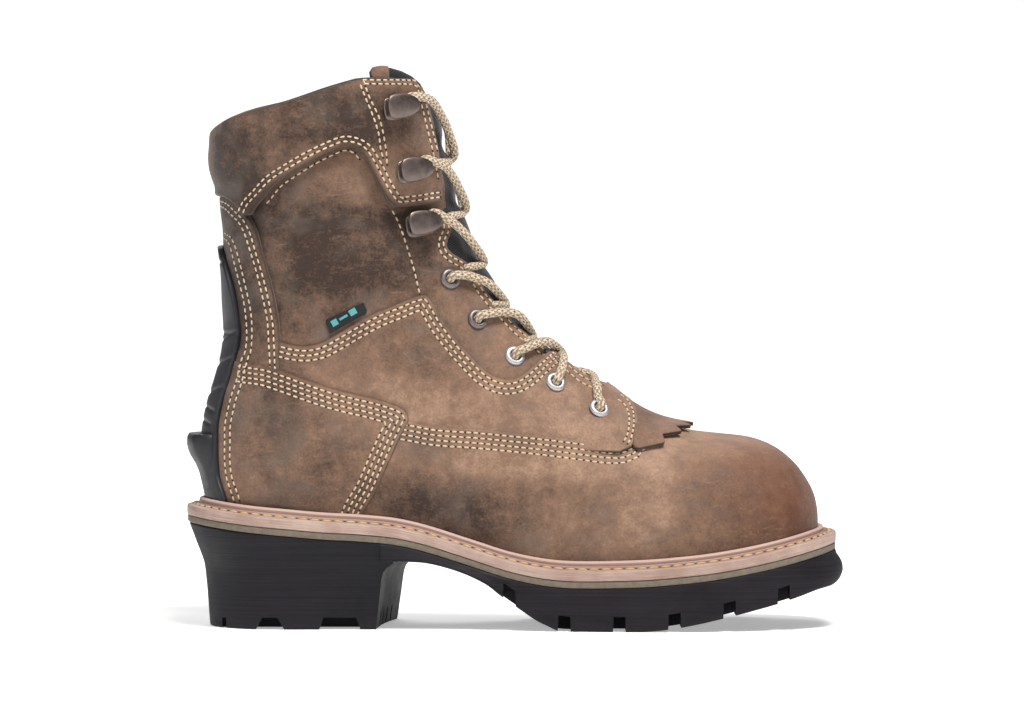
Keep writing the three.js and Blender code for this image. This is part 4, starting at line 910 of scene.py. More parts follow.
# Kiltie. A fringed flap of leather over the foot of the lacing. Its neck goes in under the laces,
# and its teeth lift a little from the vamp.
KILTIE_MOUTH, KILTIE_REAR, KILTIE_TIP = 0.172 * LENGTH, 0.134 * LENGTH, 0.272 * LENGTH
KILTIE_NECK, KILTIE_WIDE = 0.2 * HALF_BALL, 0.66 * HALF_BALL
KILTIE_TEETH, TOOTH_DEPTH = 7, 6.0
kiltie_outline = [
    (KILTIE_REAR, KILTIE_NECK), (KILTIE_MOUTH, KILTIE_NECK), (KILTIE_MOUTH + 1, KILTIE_WIDE)]
for tooth in range(2 * KILTIE_TEETH + 1):
    tooth_share = tooth / (2 * KILTIE_TEETH)
    bow = math.cos((0.5 - tooth_share) * math.pi) ** 0.8
    tooth_front = KILTIE_MOUTH + 10 + (KILTIE_TIP - KILTIE_MOUTH - 10) * bow
    kiltie_outline.append(
        (tooth_front - (0 if tooth % 2 else TOOTH_DEPTH), KILTIE_WIDE * (1 - 2 * tooth_share)))
kiltie_outline += [
    (KILTIE_MOUTH + 1, -KILTIE_WIDE), (KILTIE_MOUTH, -KILTIE_NECK), (KILTIE_REAR, -KILTIE_NECK)]


def kiltie_field(u, v):
    point = on_last(u, v)[0]
    depth = region_depth(kiltie_outline, point[..., 0], point[..., 1])
    return np.where(np.abs(v) < 0.7, depth, -50.0)


def kiltie_lift(point):
    tip = smoothstep(point[..., 0], KILTIE_MOUTH + 4, KILTIE_TIP)
    side = smoothstep(np.abs(point[..., 1]), 12, KILTIE_WIDE)
    return 2.0 * tip + 0.6 * side


panel("kiltie", kiltie_field, ((0.2, 0.6), (-0.7, 0.7)), lambda p: 2.3 + kiltie_lift(p) * 0.9,
      lambda p: 3.9 + kiltie_lift(p), 0.5, 0.9, leather_finish, "leather", ["kiltie"], darker=0.45)


# Tongue. Black woven cloth over foam, under the lacing, with leather facings at its sides that
# show above the collar. It bulges a little between the laces.
TONGUE_TOP = np.concatenate([place([(0.640, 0.360), (0.200, 0.360), (0.200, 0.900)]), seen_at([
    (358, 88), (362, 79), (367, 72.5), (375, 69), (385, 67), (396, 66.6), (408, 69.5), (418, 74.5),
    (425, 81.5), (430, 92), (436, 106)], 22.0), place([(0.640, 0.900)])])
TONGUE_HALF = 0.7 * HALF_BALL
tongue_body = region(TONGUE_TOP)


def from_ridge(u, point):
    row = np.clip(u, 0, 1) * (ROWS_ALONG - 1)
    return np.abs(point[..., 1] - np.interp(row, np.arange(ROWS_ALONG), last_points[:, COLUMNS_ROUND, 1]))


def tongue_field(u, v):
    point = on_last(u, v)[0]
    depth = np.minimum(tongue_body(u, v), TONGUE_HALF - from_ridge(u, point))
    return np.where(np.abs(v) < 0.6, depth, -50.0)


def tongue_height(point):
    middle = np.exp(-(point[..., 1] / 21.0) ** 2)
    channels = np.exp(-((np.abs(point[..., 1]) - 11.0) / 1.4) ** 2)
    pressed = sum(
        np.exp(-((point[..., 2] - level) / 5.0) ** 2) for level in (226, 200, 174, 152, 135, 124, 114))
    return -3.2 + 4.1 * middle - 0.6 * channels - 1.9 * pressed * middle


tongue_finish, tree, shader = new_finish(
    "black_woven_cloth", Roughness=0.88, Sheen_Weight=0.25, Sheen_Roughness=0.4, Specular_IOR_Level=0.25)
place_node = add_node(tree, "ShaderNodeTexCoord")
WEAVE_TURNS = 5200.0
weave_parts = add_node(tree, "ShaderNodeSeparateXYZ", {0: place_node.outputs["Object"]})
across_threads = add_node(tree, "ShaderNodeMath", {
    0: weave_parts.outputs["Y"], 1: WEAVE_TURNS}, operation="MULTIPLY")
up_threads = add_node(tree, "ShaderNodeMath", {
    0: weave_parts.outputs["Z"], 1: WEAVE_TURNS}, operation="MULTIPLY")
across_wave = add_node(tree, "ShaderNodeMath", {0: across_threads.outputs[0]}, operation="SINE")
up_wave = add_node(tree, "ShaderNodeMath", {0: up_threads.outputs[0]}, operation="SINE")
weave = add_node(tree, "ShaderNodeMath", {
    0: across_wave.outputs[0], 1: up_wave.outputs[0]}, operation="MULTIPLY")
weave_level = add_node(tree, "ShaderNodeMapRange", {
    "Value": weave.outputs[0], "From Min": -1.0, "From Max": 1.0, "To Min": 0.0, "To Max": 1.0})
weave_colour = add_node(tree, "ShaderNodeMix", {
    "Factor": weave_level.outputs[0], "A": linear("#121214"), "B": linear("#3a3a3f")}, data_type="RGBA")
tree.links.new(weave_colour.outputs["Result"], shader.inputs["Base Color"])
weave_bump = add_node(tree, "ShaderNodeBump", {
    "Height": weave_level.outputs[0], "Strength": 0.5, "Distance": 0.0004})
tree.links.new(weave_bump.outputs["Normal"], shader.inputs["Normal"])
tongue_piece = panel("tongue", tongue_field, ((0.25, 1.0), (-0.6, 0.6)), -7.5, tongue_height, 1.8, 1.8,
                     tongue_finish, "tongue_cloth", ["tongue"], bumps=None)


def facing_field(side):
    def field(u, v):
        point = on_last(u, v)[0]
        row = from_ridge(u, point)
        depth = np.minimum(tongue_body(u, v) + 0.6, np.minimum(TONGUE_HALF + 2.0 - row, row - 17.5))
        depth = np.minimum(depth, np.minimum(point[..., 2] - 0.90 * HEIGHT, -56.5 - point[..., 0]))
        return np.where(np.abs(v) < 0.6, np.minimum(depth, point[..., 1] * side), -50.0)
    return field


for facing_name, facing_side in (("tongue_facing_lateral", -1), ("tongue_facing_medial", 1)):
    panel(facing_name, facing_field(facing_side), ((0.8, 1.0), (-0.6, 0.6)), -5.0, -2.55, 0.5, 1.5,
          leather_finish, "leather", bumps=None)


# Tag. A small black woven label sewn flat on the outer side, with a plain border and three bars.
tag_finish, tree, shader = new_finish(
    "woven_tag", Roughness=0.7, Sheen_Weight=0.15, Specular_IOR_Level=0.3)
TAG_CORNERS = place([(0.217, 0.545), (0.274, 0.576), (0.280, 0.559), (0.224, 0.520)])
tag_across = add_node(tree, "ShaderNodeAttribute", attribute_name="tag_across")
tag_up = add_node(tree, "ShaderNodeAttribute", attribute_name="tag_up")
bars = None
for bar_at, bar_half, bar_low, bar_high in (
        (4.6, 1.5, 2.0, 4.9), (9.4, 2.1, 2.9, 4.0), (14.4, 1.7, 2.0, 4.9)):
    gap = add_node(tree, "ShaderNodeMath", {
        0: tag_across.outputs["Fac"], 1: bar_at, 2: bar_half}, operation="COMPARE")
    low_gap = add_node(tree, "ShaderNodeMath", {
        0: tag_up.outputs["Fac"], 1: (bar_low + bar_high) / 2,
        2: (bar_high - bar_low) / 2}, operation="COMPARE")
    both = add_node(tree, "ShaderNodeMath", {0: gap.outputs[0], 1: low_gap.outputs[0]}, operation="MULTIPLY")
    bars = both if bars is None else add_node(
        tree, "ShaderNodeMath", {0: bars.outputs[0], 1: both.outputs[0]}, operation="MAXIMUM")
tag_colour = add_node(tree, "ShaderNodeMix", {
    "Factor": bars.outputs[0], "A": linear("#15171b"), "B": linear("#4f9a9e")}, data_type="RGBA")
tree.links.new(tag_colour.outputs["Result"], shader.inputs["Base Color"])
place_node = add_node(tree, "ShaderNodeTexCoord")
tag_threads = add_node(tree, "ShaderNodeTexNoise", {
    "Vector": place_node.outputs["Object"], "Scale": 1500.0, "Detail": 2.0})
tag_bump = add_node(tree, "ShaderNodeBump", {
    "Height": tag_threads.outputs["Fac"], "Strength": 0.4, "Distance": 0.0003})
tree.links.new(tag_bump.outputs["Normal"], shader.inputs["Normal"])
tag_piece = panel("side_tag", region(TAG_CORNERS, side=-1), OUTER_SIDE, 0.1, 1.2, 0.3, 0.6,
                  tag_finish, "tag", ["side_tag"])
tag_places = np.empty(len(tag_piece.data.vertices) * 3)
tag_piece.data.vertices.foreach_get("co", tag_places)
tag_places = tag_places.reshape(-1, 3)[:, [0, 2]] / MM - TAG_CORNERS[3]
tag_along = (TAG_CORNERS[2] - TAG_CORNERS[3]) / np.linalg.norm(TAG_CORNERS[2] - TAG_CORNERS[3])
keep_attribute(tag_piece.data, "tag_across", tag_places @ tag_along)
keep_attribute(tag_piece.data, "tag_up", tag_places @ (-tag_along[1], tag_along[0]))


# Stitches. Cream waxed thread through needle holes, in one to four rows along each seam. Each row
# follows a seam at its own distance, and Geometry Nodes set the stitches along it.
def find_on_last(x, z, side):
    """Where side-view places lie on one side of the last, and which of them lie on it at all."""
    rows = slice(4, ROWS_ALONG, 3)
    columns = slice(0, COLUMNS_ROUND + 1, 3) if side < 0 else slice(COLUMNS_ROUND, 2 * COLUMNS_ROUND + 1, 3)
    table = last_points[rows, columns][..., [0, 2]]
    flat = table.reshape(-1, 2)
    at = np.array([np.argmin(((flat - q) ** 2).sum(1)) for q in np.stack([x, z], axis=1)])
    u = (4 + 3 * (at // table.shape[1])) / (ROWS_ALONG - 1)
    v = (columns.start + 3 * (at % table.shape[1])) / COLUMNS_ROUND - 1
    small = 2e-3
    low, high = (-1, 0) if side < 0 else (0, 1)
    for _ in range(8):
        here = on_last(u, v)[0]
        by_u = (on_last(u + small, v)[0] - here) / small
        by_v = (on_last(u, v + small)[0] - here) / small
        gap_x, gap_z = x - here[:, 0], z - here[:, 2]
        det = by_u[:, 0] * by_v[:, 2] - by_u[:, 2] * by_v[:, 0]
        det = np.where(np.abs(det) < 1e-6, 1e-6, det)
        u = np.clip(u + np.clip((gap_x * by_v[:, 2] - gap_z * by_v[:, 0]) / det, -0.01, 0.01), 0, 1)
        v = np.clip(v + np.clip((by_u[:, 0] * gap_z - by_u[:, 2] * gap_x) / det, -0.02, 0.02), low, high)
    here = on_last(u, v)[0]
    return u, v, np.hypot(x - here[:, 0], z - here[:, 2]) < 0.6


def beside(line, gap):
    """The line moved sideways by a gap, to its left where the gap is positive."""
    ahead = np.gradient(line, axis=0)
    ahead /= np.linalg.norm(ahead, axis=1, keepdims=True) + 1e-9
    moved = line + gap * np.stack([-ahead[:, 1], ahead[:, 0]], axis=1)
    nearest = np.array([np.sqrt(((line - q) ** 2).sum(1).min()) for q in moved])
    return moved[nearest > abs(gap) - 0.25]


thread_rows = {}
STITCH_PITCH, STITCH_SINK = 3.3, 0.05
STITCH, NEEDLE_HOLE = (2.75, 1.0, 0.9), (1.25, 1.15, 0.35)


def sew(seam, line, height, gaps, passes=1, margin=0.6):
    """Rows of stitches at gaps beside a side-view line, kept by the seam's name. More passes bring
    a row on raised leather to where the line shows."""
    for gap in gaps:
        row = beside(line, gap)
        for way in (-1, 1):
            target = row
            for _ in range(passes):
                u, v, found = find_on_last(target[:, 0], target[:, 1], way)
                point, normal = on_last(u, v)
                path = point + normal * (as_heights(height, point) + relief(point) - STITCH_SINK)[:, None]
                target = target + 0.8 * (row - path[:, [0, 2]])
            found = found & (throat_depth(u, v, point) > margin)
            if found.sum() >= 4:
                sew_path(seam, path[found], normal[found], STITCH_PITCH)


def way_along(path):
    """The way walked along a path, at each of its points."""
    return np.concatenate([[0], np.cumsum(np.linalg.norm(np.diff(path, axis=0), axis=1))])


def sew_path(seam, path, normal, pitch):
    walked = way_along(path)
    count = max(2, int(walked[-1] / pitch))
    middles = (np.arange(count) + 0.5) * walked[-1] / count

    def read(table, shift=0.0):
        return np.stack([np.interp(middles + shift, walked, table[:, axis]) for axis in range(3)], 1)
    thread_rows.setdefault(seam, []).append(
        (read(path), read(path, 0.6) - read(path, -0.6), read(normal), walked[-1] / count))


thread_finish = grained_finish(
    "waxed_thread", "#b2977a", "#e2d0b6", (230.0, 3.0, 0.5), Roughness=0.6, Sheen_Weight=0.2,
    Specular_IOR_Level=0.3)
# The needle holes are small dark bodies between the stitches, painted shade of the holes.
hole_shade_finish = new_finish("needle_hole_shade", Base_Color=linear("#2b1e15"), Roughness=0.9)[0]


def set_along(name, rows, finish, size, between=False):
    """Small rounded bodies set along rows of places by Geometry Nodes, as one plain mesh."""
    places, ahead, out = [], [], []
    for at, forward, outward, pitch in rows:
        unit = forward / (np.linalg.norm(forward, axis=1, keepdims=True) + 1e-9)
        places.append(at + unit * pitch / 2 if between else at)
        ahead.append(unit)
        out.append(outward)
    places, ahead, out = (np.concatenate(part) for part in (places, ahead, out))
    mesh = bpy.data.meshes.new(name)
    mesh.from_pydata([tuple(p) for p in places * MM], [], [])
    for attribute, values in (("ahead", ahead), ("outward", out)):
        mesh.attributes.new(attribute, "FLOAT_VECTOR", "POINT").data.foreach_set(
            "vector", values.astype(np.float32).ravel())
    piece = bpy.data.objects.new(name, mesh)
    bpy.context.scene.collection.objects.link(piece)
    tree = bpy.data.node_groups.new(name + "_nodes", "GeometryNodeTree")
    tree.interface.new_socket("Geometry", in_out="INPUT", socket_type="NodeSocketGeometry")
    sizes = [tree.interface.new_socket(label, in_out="INPUT", socket_type="NodeSocketFloat")
             for label in ("Length", "Width", "Thickness")]
    tree.interface.new_socket("Geometry", in_out="OUTPUT", socket_type="NodeSocketGeometry")
    given = add_node(tree, "NodeGroupInput")
    body = add_node(tree, "GeometryNodeMeshUVSphere", {"Segments": 6, "Rings": 4, "Radius": 0.5})
    scale = add_node(tree, "ShaderNodeCombineXYZ", {
        "X": given.outputs["Length"], "Y": given.outputs["Width"], "Z": given.outputs["Thickness"]})
    along_now = add_node(tree, "GeometryNodeInputNamedAttribute", {"Name": "ahead"}, data_type="FLOAT_VECTOR")
    out_now = add_node(tree, "GeometryNodeInputNamedAttribute", {"Name": "outward"}, data_type="FLOAT_VECTOR")
    turned = add_node(tree, "FunctionNodeAlignRotationToVector", {
        "Vector": along_now.outputs["Attribute"]}, axis="X")
    upright = add_node(tree, "FunctionNodeAlignRotationToVector", {
        "Rotation": turned.outputs["Rotation"], "Vector": out_now.outputs["Attribute"]},
        axis="Z", pivot_axis="X")
    placed = add_node(tree, "GeometryNodeInstanceOnPoints", {
        "Points": given.outputs["Geometry"], "Instance": body.outputs["Mesh"],
        "Rotation": upright.outputs["Rotation"], "Scale": scale.outputs["Vector"]})
    realized = add_node(tree, "GeometryNodeRealizeInstances", {"Geometry": placed.outputs["Instances"]})
    finished = add_node(tree, "GeometryNodeSetMaterial", {
        "Geometry": realized.outputs["Geometry"], "Material": finish})
    add_node(tree, "NodeGroupOutput", {"Geometry": finished.outputs["Geometry"]})
    modifier = piece.modifiers.new("set_along", "NODES")
    modifier.node_group = tree
    for socket, value in zip(sizes, size):
        modifier[socket.identifier] = value * MM
    shaped = bpy.data.meshes.new_from_object(piece.evaluated_get(bpy.context.evaluated_depsgraph_get()))
    piece.modifiers.remove(modifier)
    piece.data = shaped
    shaped.polygons.foreach_set("use_smooth", [True] * len(shaped.polygons))
    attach(piece, "root")


vamp_line = smooth_line(VAMP_LAP)
sew("vamp", vamp_line[::-1], lambda p: as_heights(VAMP_RISE, p), (-2.3, -4.6, -6.9, -9.2))
sew("quarter", smooth_line(QUARTER_TOP), quarter_height, (-2.2, -4.5, -6.8))
sew("counter", counter_line[6:], COUNTER_RISE, (-2.3, -4.6, -6.9, -9.2))
sew("strap", strap_line, STRAP_RISE, (-2.3, -4.5))
collar_front = collar_edge_line[collar_edge_line[:, 0] > -122.5]
sew("collar", collar_front, collar_height, (2.4, 4.6), margin=6.2)
under_collar = (collar_edge_line[:, 0] > -118) & (collar_edge_line[:, 0] < -70)
sew("collar", collar_edge_line[under_collar], shaft_height, (-2.0,))
for eyestay_row in (
        [(360.6, 84.5), (366.7, 99.8), (373, 115), (379, 133.5), (381, 149), (383.6, 158)],
        [(363.7, 80), (370, 98), (379, 116.6), (383.6, 133.5), (386.6, 152), (387.4, 165)],
        [(362, 80.5), (380, 80.5), (400, 80), (417, 80.5), (422, 86), (426, 104), (431, 125), (437, 150),
         (442, 176), (444, 190)],
        [(364, 84.5), (380, 84.5), (400, 84), (414, 84.5), (418, 90), (422, 107), (427, 128), (433, 153),
         (438, 178)]):
    sew("eyestay", smooth_line(seen_at(eyestay_row, 36)), collar_height, (0.0,), passes=5, margin=5.6)
shaft_row = [(392.8, 209), (399, 222), (405, 240.6), (409.6, 256), (415, 275), (420, 294)]
sew("eyestay", smooth_line(seen_at(shaft_row, 36)), shaft_height, (0.0,))
throat_low = throat_line[throat_line[:, 1] < 190]
sew("throat", throat_low[:-12], lambda p: np.where(region_depth(
    np.concatenate(quarter_outline), p[..., 0], p[..., 2]) > 0, quarter_height(p), 0.0), (-1.9, -4.1))
sew("throat", smooth_line(QUARTER_FRONT), quarter_height, (-2.2, -4.4))
sew("guard", guard_line, lambda p: np.where(p[..., 2] > 0.48 * HEIGHT, STRAP_RISE, COUNTER_RISE), (2.4, 4.8))
for seam_name, seam_rows in thread_rows.items():
    set_along(seam_name + "_stitches", seam_rows, thread_finish, STITCH)
    set_along(seam_name + "_needle_holes", seam_rows, hole_shade_finish, NEEDLE_HOLE, between=True)


# Welt. A strip of smooth leather round the whole sole, with a round storm bead pressed against the
# upper and a groove for the stitches that hold it to the sole.
def on_form(u, v, offset):
    point, normal = on_last(u, v)
    return point + normal * np.asarray(offset)[..., None]


def feather_side(side):
    """The line on one side where the upper meets the bead, from toe to heel."""
    u, v = np.meshgrid(np.linspace(0.002, 0.66, 1500), np.linspace(0.2, 1, 260), indexing="ij")
    bare = on_last(u, side * v)[0]
    back = smoothstep(-bare[..., 0], 0.22 * LENGTH, 0.4 * LENGTH)
    spot = on_form(u, side * v, VAMP_RISE + (GUARD_RISE - VAMP_RISE) * back)
    above = spot[..., 2] - welt_level(spot[..., 0]) - FLANGE_TOP - 0.5 - BEAD_HEIGHT / 2
    rows = np.where((above[:, 0] > 0) & (above < 0).any(1))[0]
    meets = np.argmax(above[rows] < 0, axis=1)
    share = above[rows, meets - 1] / (above[rows, meets - 1] - above[rows, meets])
    return spot[rows, meets - 1] + share[:, None] * (spot[rows, meets] - spot[rows, meets - 1])


def even_steps(path, count):
    walked = way_along(path)
    at = np.linspace(0, walked[-1], count)
    return np.stack([np.interp(at, walked, path[:, k]) for k in range(path.shape[1])], axis=1)


FEATHER_STEPS = 560
feather = np.concatenate([feather_side(-1), feather_side(1)[::-1]])
feather = even_steps(np.concatenate([feather, feather[:1]]), FEATHER_STEPS + 1)[:-1]
for _ in range(30):
    feather = (np.roll(feather, 1, axis=0) + 2 * feather + np.roll(feather, -1, axis=0)) / 4
feather_ahead = np.roll(feather, -1, axis=0) - np.roll(feather, 1, axis=0)
feather_out = np.stack([-feather_ahead[:, 1], feather_ahead[:, 0]], axis=1)
feather_out /= np.linalg.norm(feather_out, axis=1, keepdims=True)
if (feather_out * (feather[:, :2] - feather[:, :2].mean(0))).sum() < 0:
    feather_out = -feather_out


def beyond_feather(reach):
    """The x and y of points round the sole, at a reach beyond the feather line."""
    return feather[:, 0] + feather_out[:, 0] * reach, feather[:, 1] + feather_out[:, 1] * reach


def ring_at(reach, rise_of):
    x, y = beyond_feather(reach)
    return np.stack([x, y, rise_of(x)], axis=1)


def sole_band(name, rows, finish, slot, nodes, colours=()):
    """A closed ring round the sole, from rows of reach and rise over the welt's underside."""
    rings = [ring_at(reach, lambda x, rise=rise: welt_level(x) + rise) for reach, rise in rows]
    count, faces = FEATHER_STEPS, []
    for r in range(len(rows)):
        below, above = r * count, ((r + 1) % len(rows)) * count
        faces += [(below + i, below + (i + 1) % count, above + (i + 1) % count, above + i)
                  for i in range(count)]
    piece = new_piece(name, np.concatenate(rings), faces, finish, slot, nodes)
    face_outwards(piece)
    for attribute, values in colours:
        keep_attribute(piece.data, attribute, np.repeat(values, count))
    keep_attribute(piece.data, "round_sole", np.tile(way_along(feather), len(rows)))


welt_finish, tree, shader = new_finish("cut_welt_leather", IOR=1.45, Specular_IOR_Level=0.4)
place_node = add_node(tree, "ShaderNodeTexCoord")
rise_now = add_node(tree, "ShaderNodeAttribute", attribute_name="welt_rise")
round_now = add_node(tree, "ShaderNodeAttribute", attribute_name="round_sole")
bead_now = add_node(tree, "ShaderNodeAttribute", attribute_name="bead")
edge_lines = add_node(tree, "ShaderNodeCombineXYZ", {
    "X": round_now.outputs["Fac"], "Y": rise_now.outputs["Fac"]})
edge_stretch = add_node(tree, "ShaderNodeMapping", {
    "Vector": edge_lines.outputs["Vector"], "Scale": (0.05, 3.2, 1.0)})
layers = add_node(tree, "ShaderNodeTexNoise", {
    "Vector": edge_stretch.outputs["Vector"], "Scale": 1.0, "Detail": 3.0, "Roughness": 0.6})
welt_cloud = add_node(tree, "ShaderNodeTexNoise", {
    "Vector": place_node.outputs["Object"], "Scale": 45.0, "Detail": 4.0, "Roughness": 0.6})
welt_tone = add_node(tree, "ShaderNodeMath", {
    0: layers.outputs["Fac"], 1: welt_cloud.outputs["Fac"]}, operation="ADD")
welt_level_now = add_node(tree, "ShaderNodeMapRange", {
    "Value": welt_tone.outputs[0], "From Min": 0.75, "From Max": 1.3, "To Min": 0.0, "To Max": 1.0})
welt_colour = add_node(tree, "ShaderNodeMix", {
    "Factor": welt_level_now.outputs[0], "A": linear("#93776c"), "B": linear("#beaaa0")}, data_type="RGBA")
welt_bead = add_node(tree, "ShaderNodeMix", {
    "Factor": bead_now.outputs["Fac"], "A": welt_colour.outputs["Result"],
    "B": linear("#bba096")}, data_type="RGBA")
# Painted shade: the welt is darkened in its stitch groove, a little beside it, and on the bead's back and
# under the upper.
groove_shade_now = add_node(tree, "ShaderNodeAttribute", attribute_name="groove")
welt_with_groove_shade = add_node(tree, "ShaderNodeMix", {
    "Factor": groove_shade_now.outputs["Fac"], "A": welt_bead.outputs["Result"],
    "B": linear("#5e3427")}, data_type="RGBA")
tree.links.new(welt_with_groove_shade.outputs["Result"], shader.inputs["Base Color"])
welt_rough = add_node(tree, "ShaderNodeMapRange", {
    "Value": welt_cloud.outputs["Fac"], "From Min": 0.3, "From Max": 0.7, "To Min": 0.42, "To Max": 0.6})
tree.links.new(welt_rough.outputs[0], shader.inputs["Roughness"])
welt_bump = add_node(tree, "ShaderNodeBump", {
    "Height": layers.outputs["Fac"], "Strength": 0.35, "Distance": 0.0004})
tree.links.new(welt_bump.outputs["Normal"], shader.inputs["Normal"])
bead_middle, bead_low, bead_radius = 1.25, 7.25, 1.75
bead_rows = [
    (bead_middle + bead_radius * math.cos(math.radians(turn)),
     bead_low + bead_radius * math.sin(math.radians(turn))) for turn in range(-28, 200, 15)]
welt_rows = [
    (8.35, 0.0), (8.62, 0.12), (8.7, 0.4), (8.74, 2.3), (8.7, 4.0), (8.55, 4.45), (8.2, 4.72),
    (7.2, 5.05), (6.25, 5.32), (5.95, 5.2), (5.7, 4.88), (5.3, 4.82), (4.9, 5.02), (4.65, 5.5),
    (4.4, 5.82), (3.9, 5.98), (3.3, 6.02)] + bead_rows + [(-1.0, 6.2), (-13.0, 6.2), (-13.0, 0.0)]
# The groove attribute carries painted shade: darkest in the stitch groove, lighter beside it, and behind the
# bead.
sole_band("welt", welt_rows, welt_finish, "welt", ["welt"], [
    ("welt_rise", [rise for _, rise in welt_rows]),
    ("bead", [1.0 if rise > 6.1 else 0.0 for _, rise in welt_rows]),
    ("groove", [0.85 if 4.7 < reach < 5.8 else 0.45 if 2.9 < reach < 6.3 else 0.7 if reach < 0.1 else 0.0
                for reach, _ in welt_rows])])
WELT_STITCH_REACH, WELT_STITCH_RISE, WELT_PITCH = 5.45, 5.3, 5.5
welt_path = ring_at(WELT_STITCH_REACH, lambda x: welt_level(x) + WELT_STITCH_RISE)
welt_path = np.concatenate([welt_path, welt_path[:1]])
slope_out = np.concatenate([feather_out, feather_out[:1]])
slope_out = np.concatenate([slope_out * 0.3, np.full((len(slope_out), 1), 0.95)], axis=1)
sew_path("welt", welt_path, slope_out, WELT_PITCH)
welt_thread = grained_finish(
    "thick_welt_thread", "#a87648", "#e2c193", (300.0, 3.0, 0.5), Roughness=0.55, Specular_IOR_Level=0.35)
WELT_STITCH, WELT_HOLE = (4.8, 1.7, 1.4), (1.5, 1.5, 0.7)
set_along("welt_stitches", thread_rows["welt"], welt_thread, WELT_STITCH)
set_along("welt_needle_holes", thread_rows["welt"], hole_shade_finish, WELT_HOLE, between=True)


# Midsole. A layer of olive rubber between the welt and the sole, ground flush with the edge.
midsole_finish = grained_finish(
    "ground_olive_rubber", "#544c41", "#877e71", (380.0, 4.0, 0.65), (0.3, 0.0005), Roughness=0.75,
    IOR=1.5, Specular_IOR_Level=0.3)
MIDSOLE_ROWS = [
    (8.0, -3.3), (8.3, -3.1), (8.4, -2.8), (8.4, -0.8), (8.3, -0.4), (8.0, -0.15), (-12.0, -0.15),
    (-12.0, -3.3)]
sole_band("midsole", MIDSOLE_ROWS, midsole_finish, "midsole", ["midsole"])


# Outsole. One moulding of black rubber with a high undercut heel and a lugged forefoot. Its sides
# are ground, which leaves fine lines along them, and it stands a little proud round the toe.
outsole_finish, tree, shader = new_finish("moulded_black_rubber", IOR=1.5, Specular_IOR_Level=0.22)
place_node = add_node(tree, "ShaderNodeTexCoord")
ground_stretch = add_node(tree, "ShaderNodeMapping", {
    "Vector": place_node.outputs["Object"], "Scale": (14.0, 14.0, 1500.0)})
ground_lines = add_node(tree, "ShaderNodeTexNoise", {
    "Vector": ground_stretch.outputs["Vector"], "Scale": 1.0, "Detail": 4.0, "Roughness": 0.6})
rubber_cloud = add_node(tree, "ShaderNodeTexNoise", {
    "Vector": place_node.outputs["Object"], "Scale": 40.0, "Detail": 4.0, "Roughness": 0.6})
rubber_tone = add_node(tree, "ShaderNodeMath", {
    0: ground_lines.outputs["Fac"], 1: rubber_cloud.outputs["Fac"]}, operation="MULTIPLY")
rubber_level = add_node(tree, "ShaderNodeMapRange", {
    "Value": rubber_tone.outputs[0], "From Min": 0.12, "From Max": 0.42, "To Min": 0.0, "To Max": 1.0})
rubber_colour = add_node(tree, "ShaderNodeMix", {
    "Factor": rubber_level.outputs[0], "A": linear("#0d0c11"), "B": linear("#222027")}, data_type="RGBA")
tree.links.new(rubber_colour.outputs["Result"], shader.inputs["Base Color"])
rubber_rough = add_node(tree, "ShaderNodeMapRange", {
    "Value": rubber_cloud.outputs["Fac"], "From Min": 0.3, "From Max": 0.7, "To Min": 0.5, "To Max": 0.72})
tree.links.new(rubber_rough.outputs[0], shader.inputs["Roughness"])
rubber_bump = add_node(tree, "ShaderNodeBump", {
    "Height": ground_lines.outputs["Fac"], "Strength": 0.4, "Distance": 0.0004})
tree.links.new(rubber_bump.outputs["Normal"], shader.inputs["Normal"])
RUBBER_TOP = -3.6
BREAST_LEAN = 0.11
TREAD = place([
    (0.337, 0.121), (0.374, 0.117), (0.419, 0.102), (0.456, 0.082), (0.482, 0.059), (0.508, 0.038),
    (0.531, 0.020), (0.550, 0.009), (0.571, 0.0006), (0.632, 0.000), (0.693, 0.0006), (0.732, 0.005),
    (0.771, 0.013), (0.809, 0.023), (0.848, 0.034), (0.888, 0.046), (0.925, 0.059), (0.954, 0.070),
    (0.980, 0.077), (0.993, 0.088), (1.000, 0.100)])
tread_line = smooth_line(TREAD)
BREAST = place([
    (0.306, 0.0), (0.309, 0.025), (0.312, 0.051), (0.316, 0.088), (0.322, 0.104), (0.337, 0.121),
    (0.340, 0.16)])
breast_line = smooth_line(BREAST)
HEEL_ROWS = np.array([
    (0.00, -2.7, 1.2), (0.006, -2.2, 1.75), (0.02, -2.0, 2.0), (0.15, -1.5, 2.5), (0.30, -1.0, 3.0),
    (0.40, -0.6, 3.5), (0.50, -0.1, 4.0), (0.56, 0.2, 4.4), (0.62, 0.7, 4.8), (0.67, 1.5, 5.3),
    (0.73, 2.6, 5.8), (0.78, 3.6, 6.3), (0.82, 4.4, 6.8), (0.90, 5.9, 7.5), (0.96, 7.1, 8.0),
    (0.985, 7.5, 8.2), (1.00, 7.2, 8.0)])


def open_outline(x, y, keep, count):
    """The part of a closed outline where keep is over zero, from one end round to the other."""
    n = len(x)
    start = [i for i in range(n) if keep[i] <= 0 < keep[(i + 1) % n]][0]
    walk = [(start + 1 + i) % n for i in range(n)]
    inside = [i for i in walk if keep[i] > 0]
    points = np.stack([x[inside], y[inside]], axis=1)
    ends = []
    for one, two in ((start, inside[0]), (inside[-1], (inside[-1] + 1) % n)):
        share = keep[one] / (keep[one] - keep[two])
        ends.append((x[one] + share * (x[two] - x[one]), y[one] + share * (y[two] - y[one])))
    return even_steps(np.concatenate([[ends[0]], points, [ends[1]]]), count)


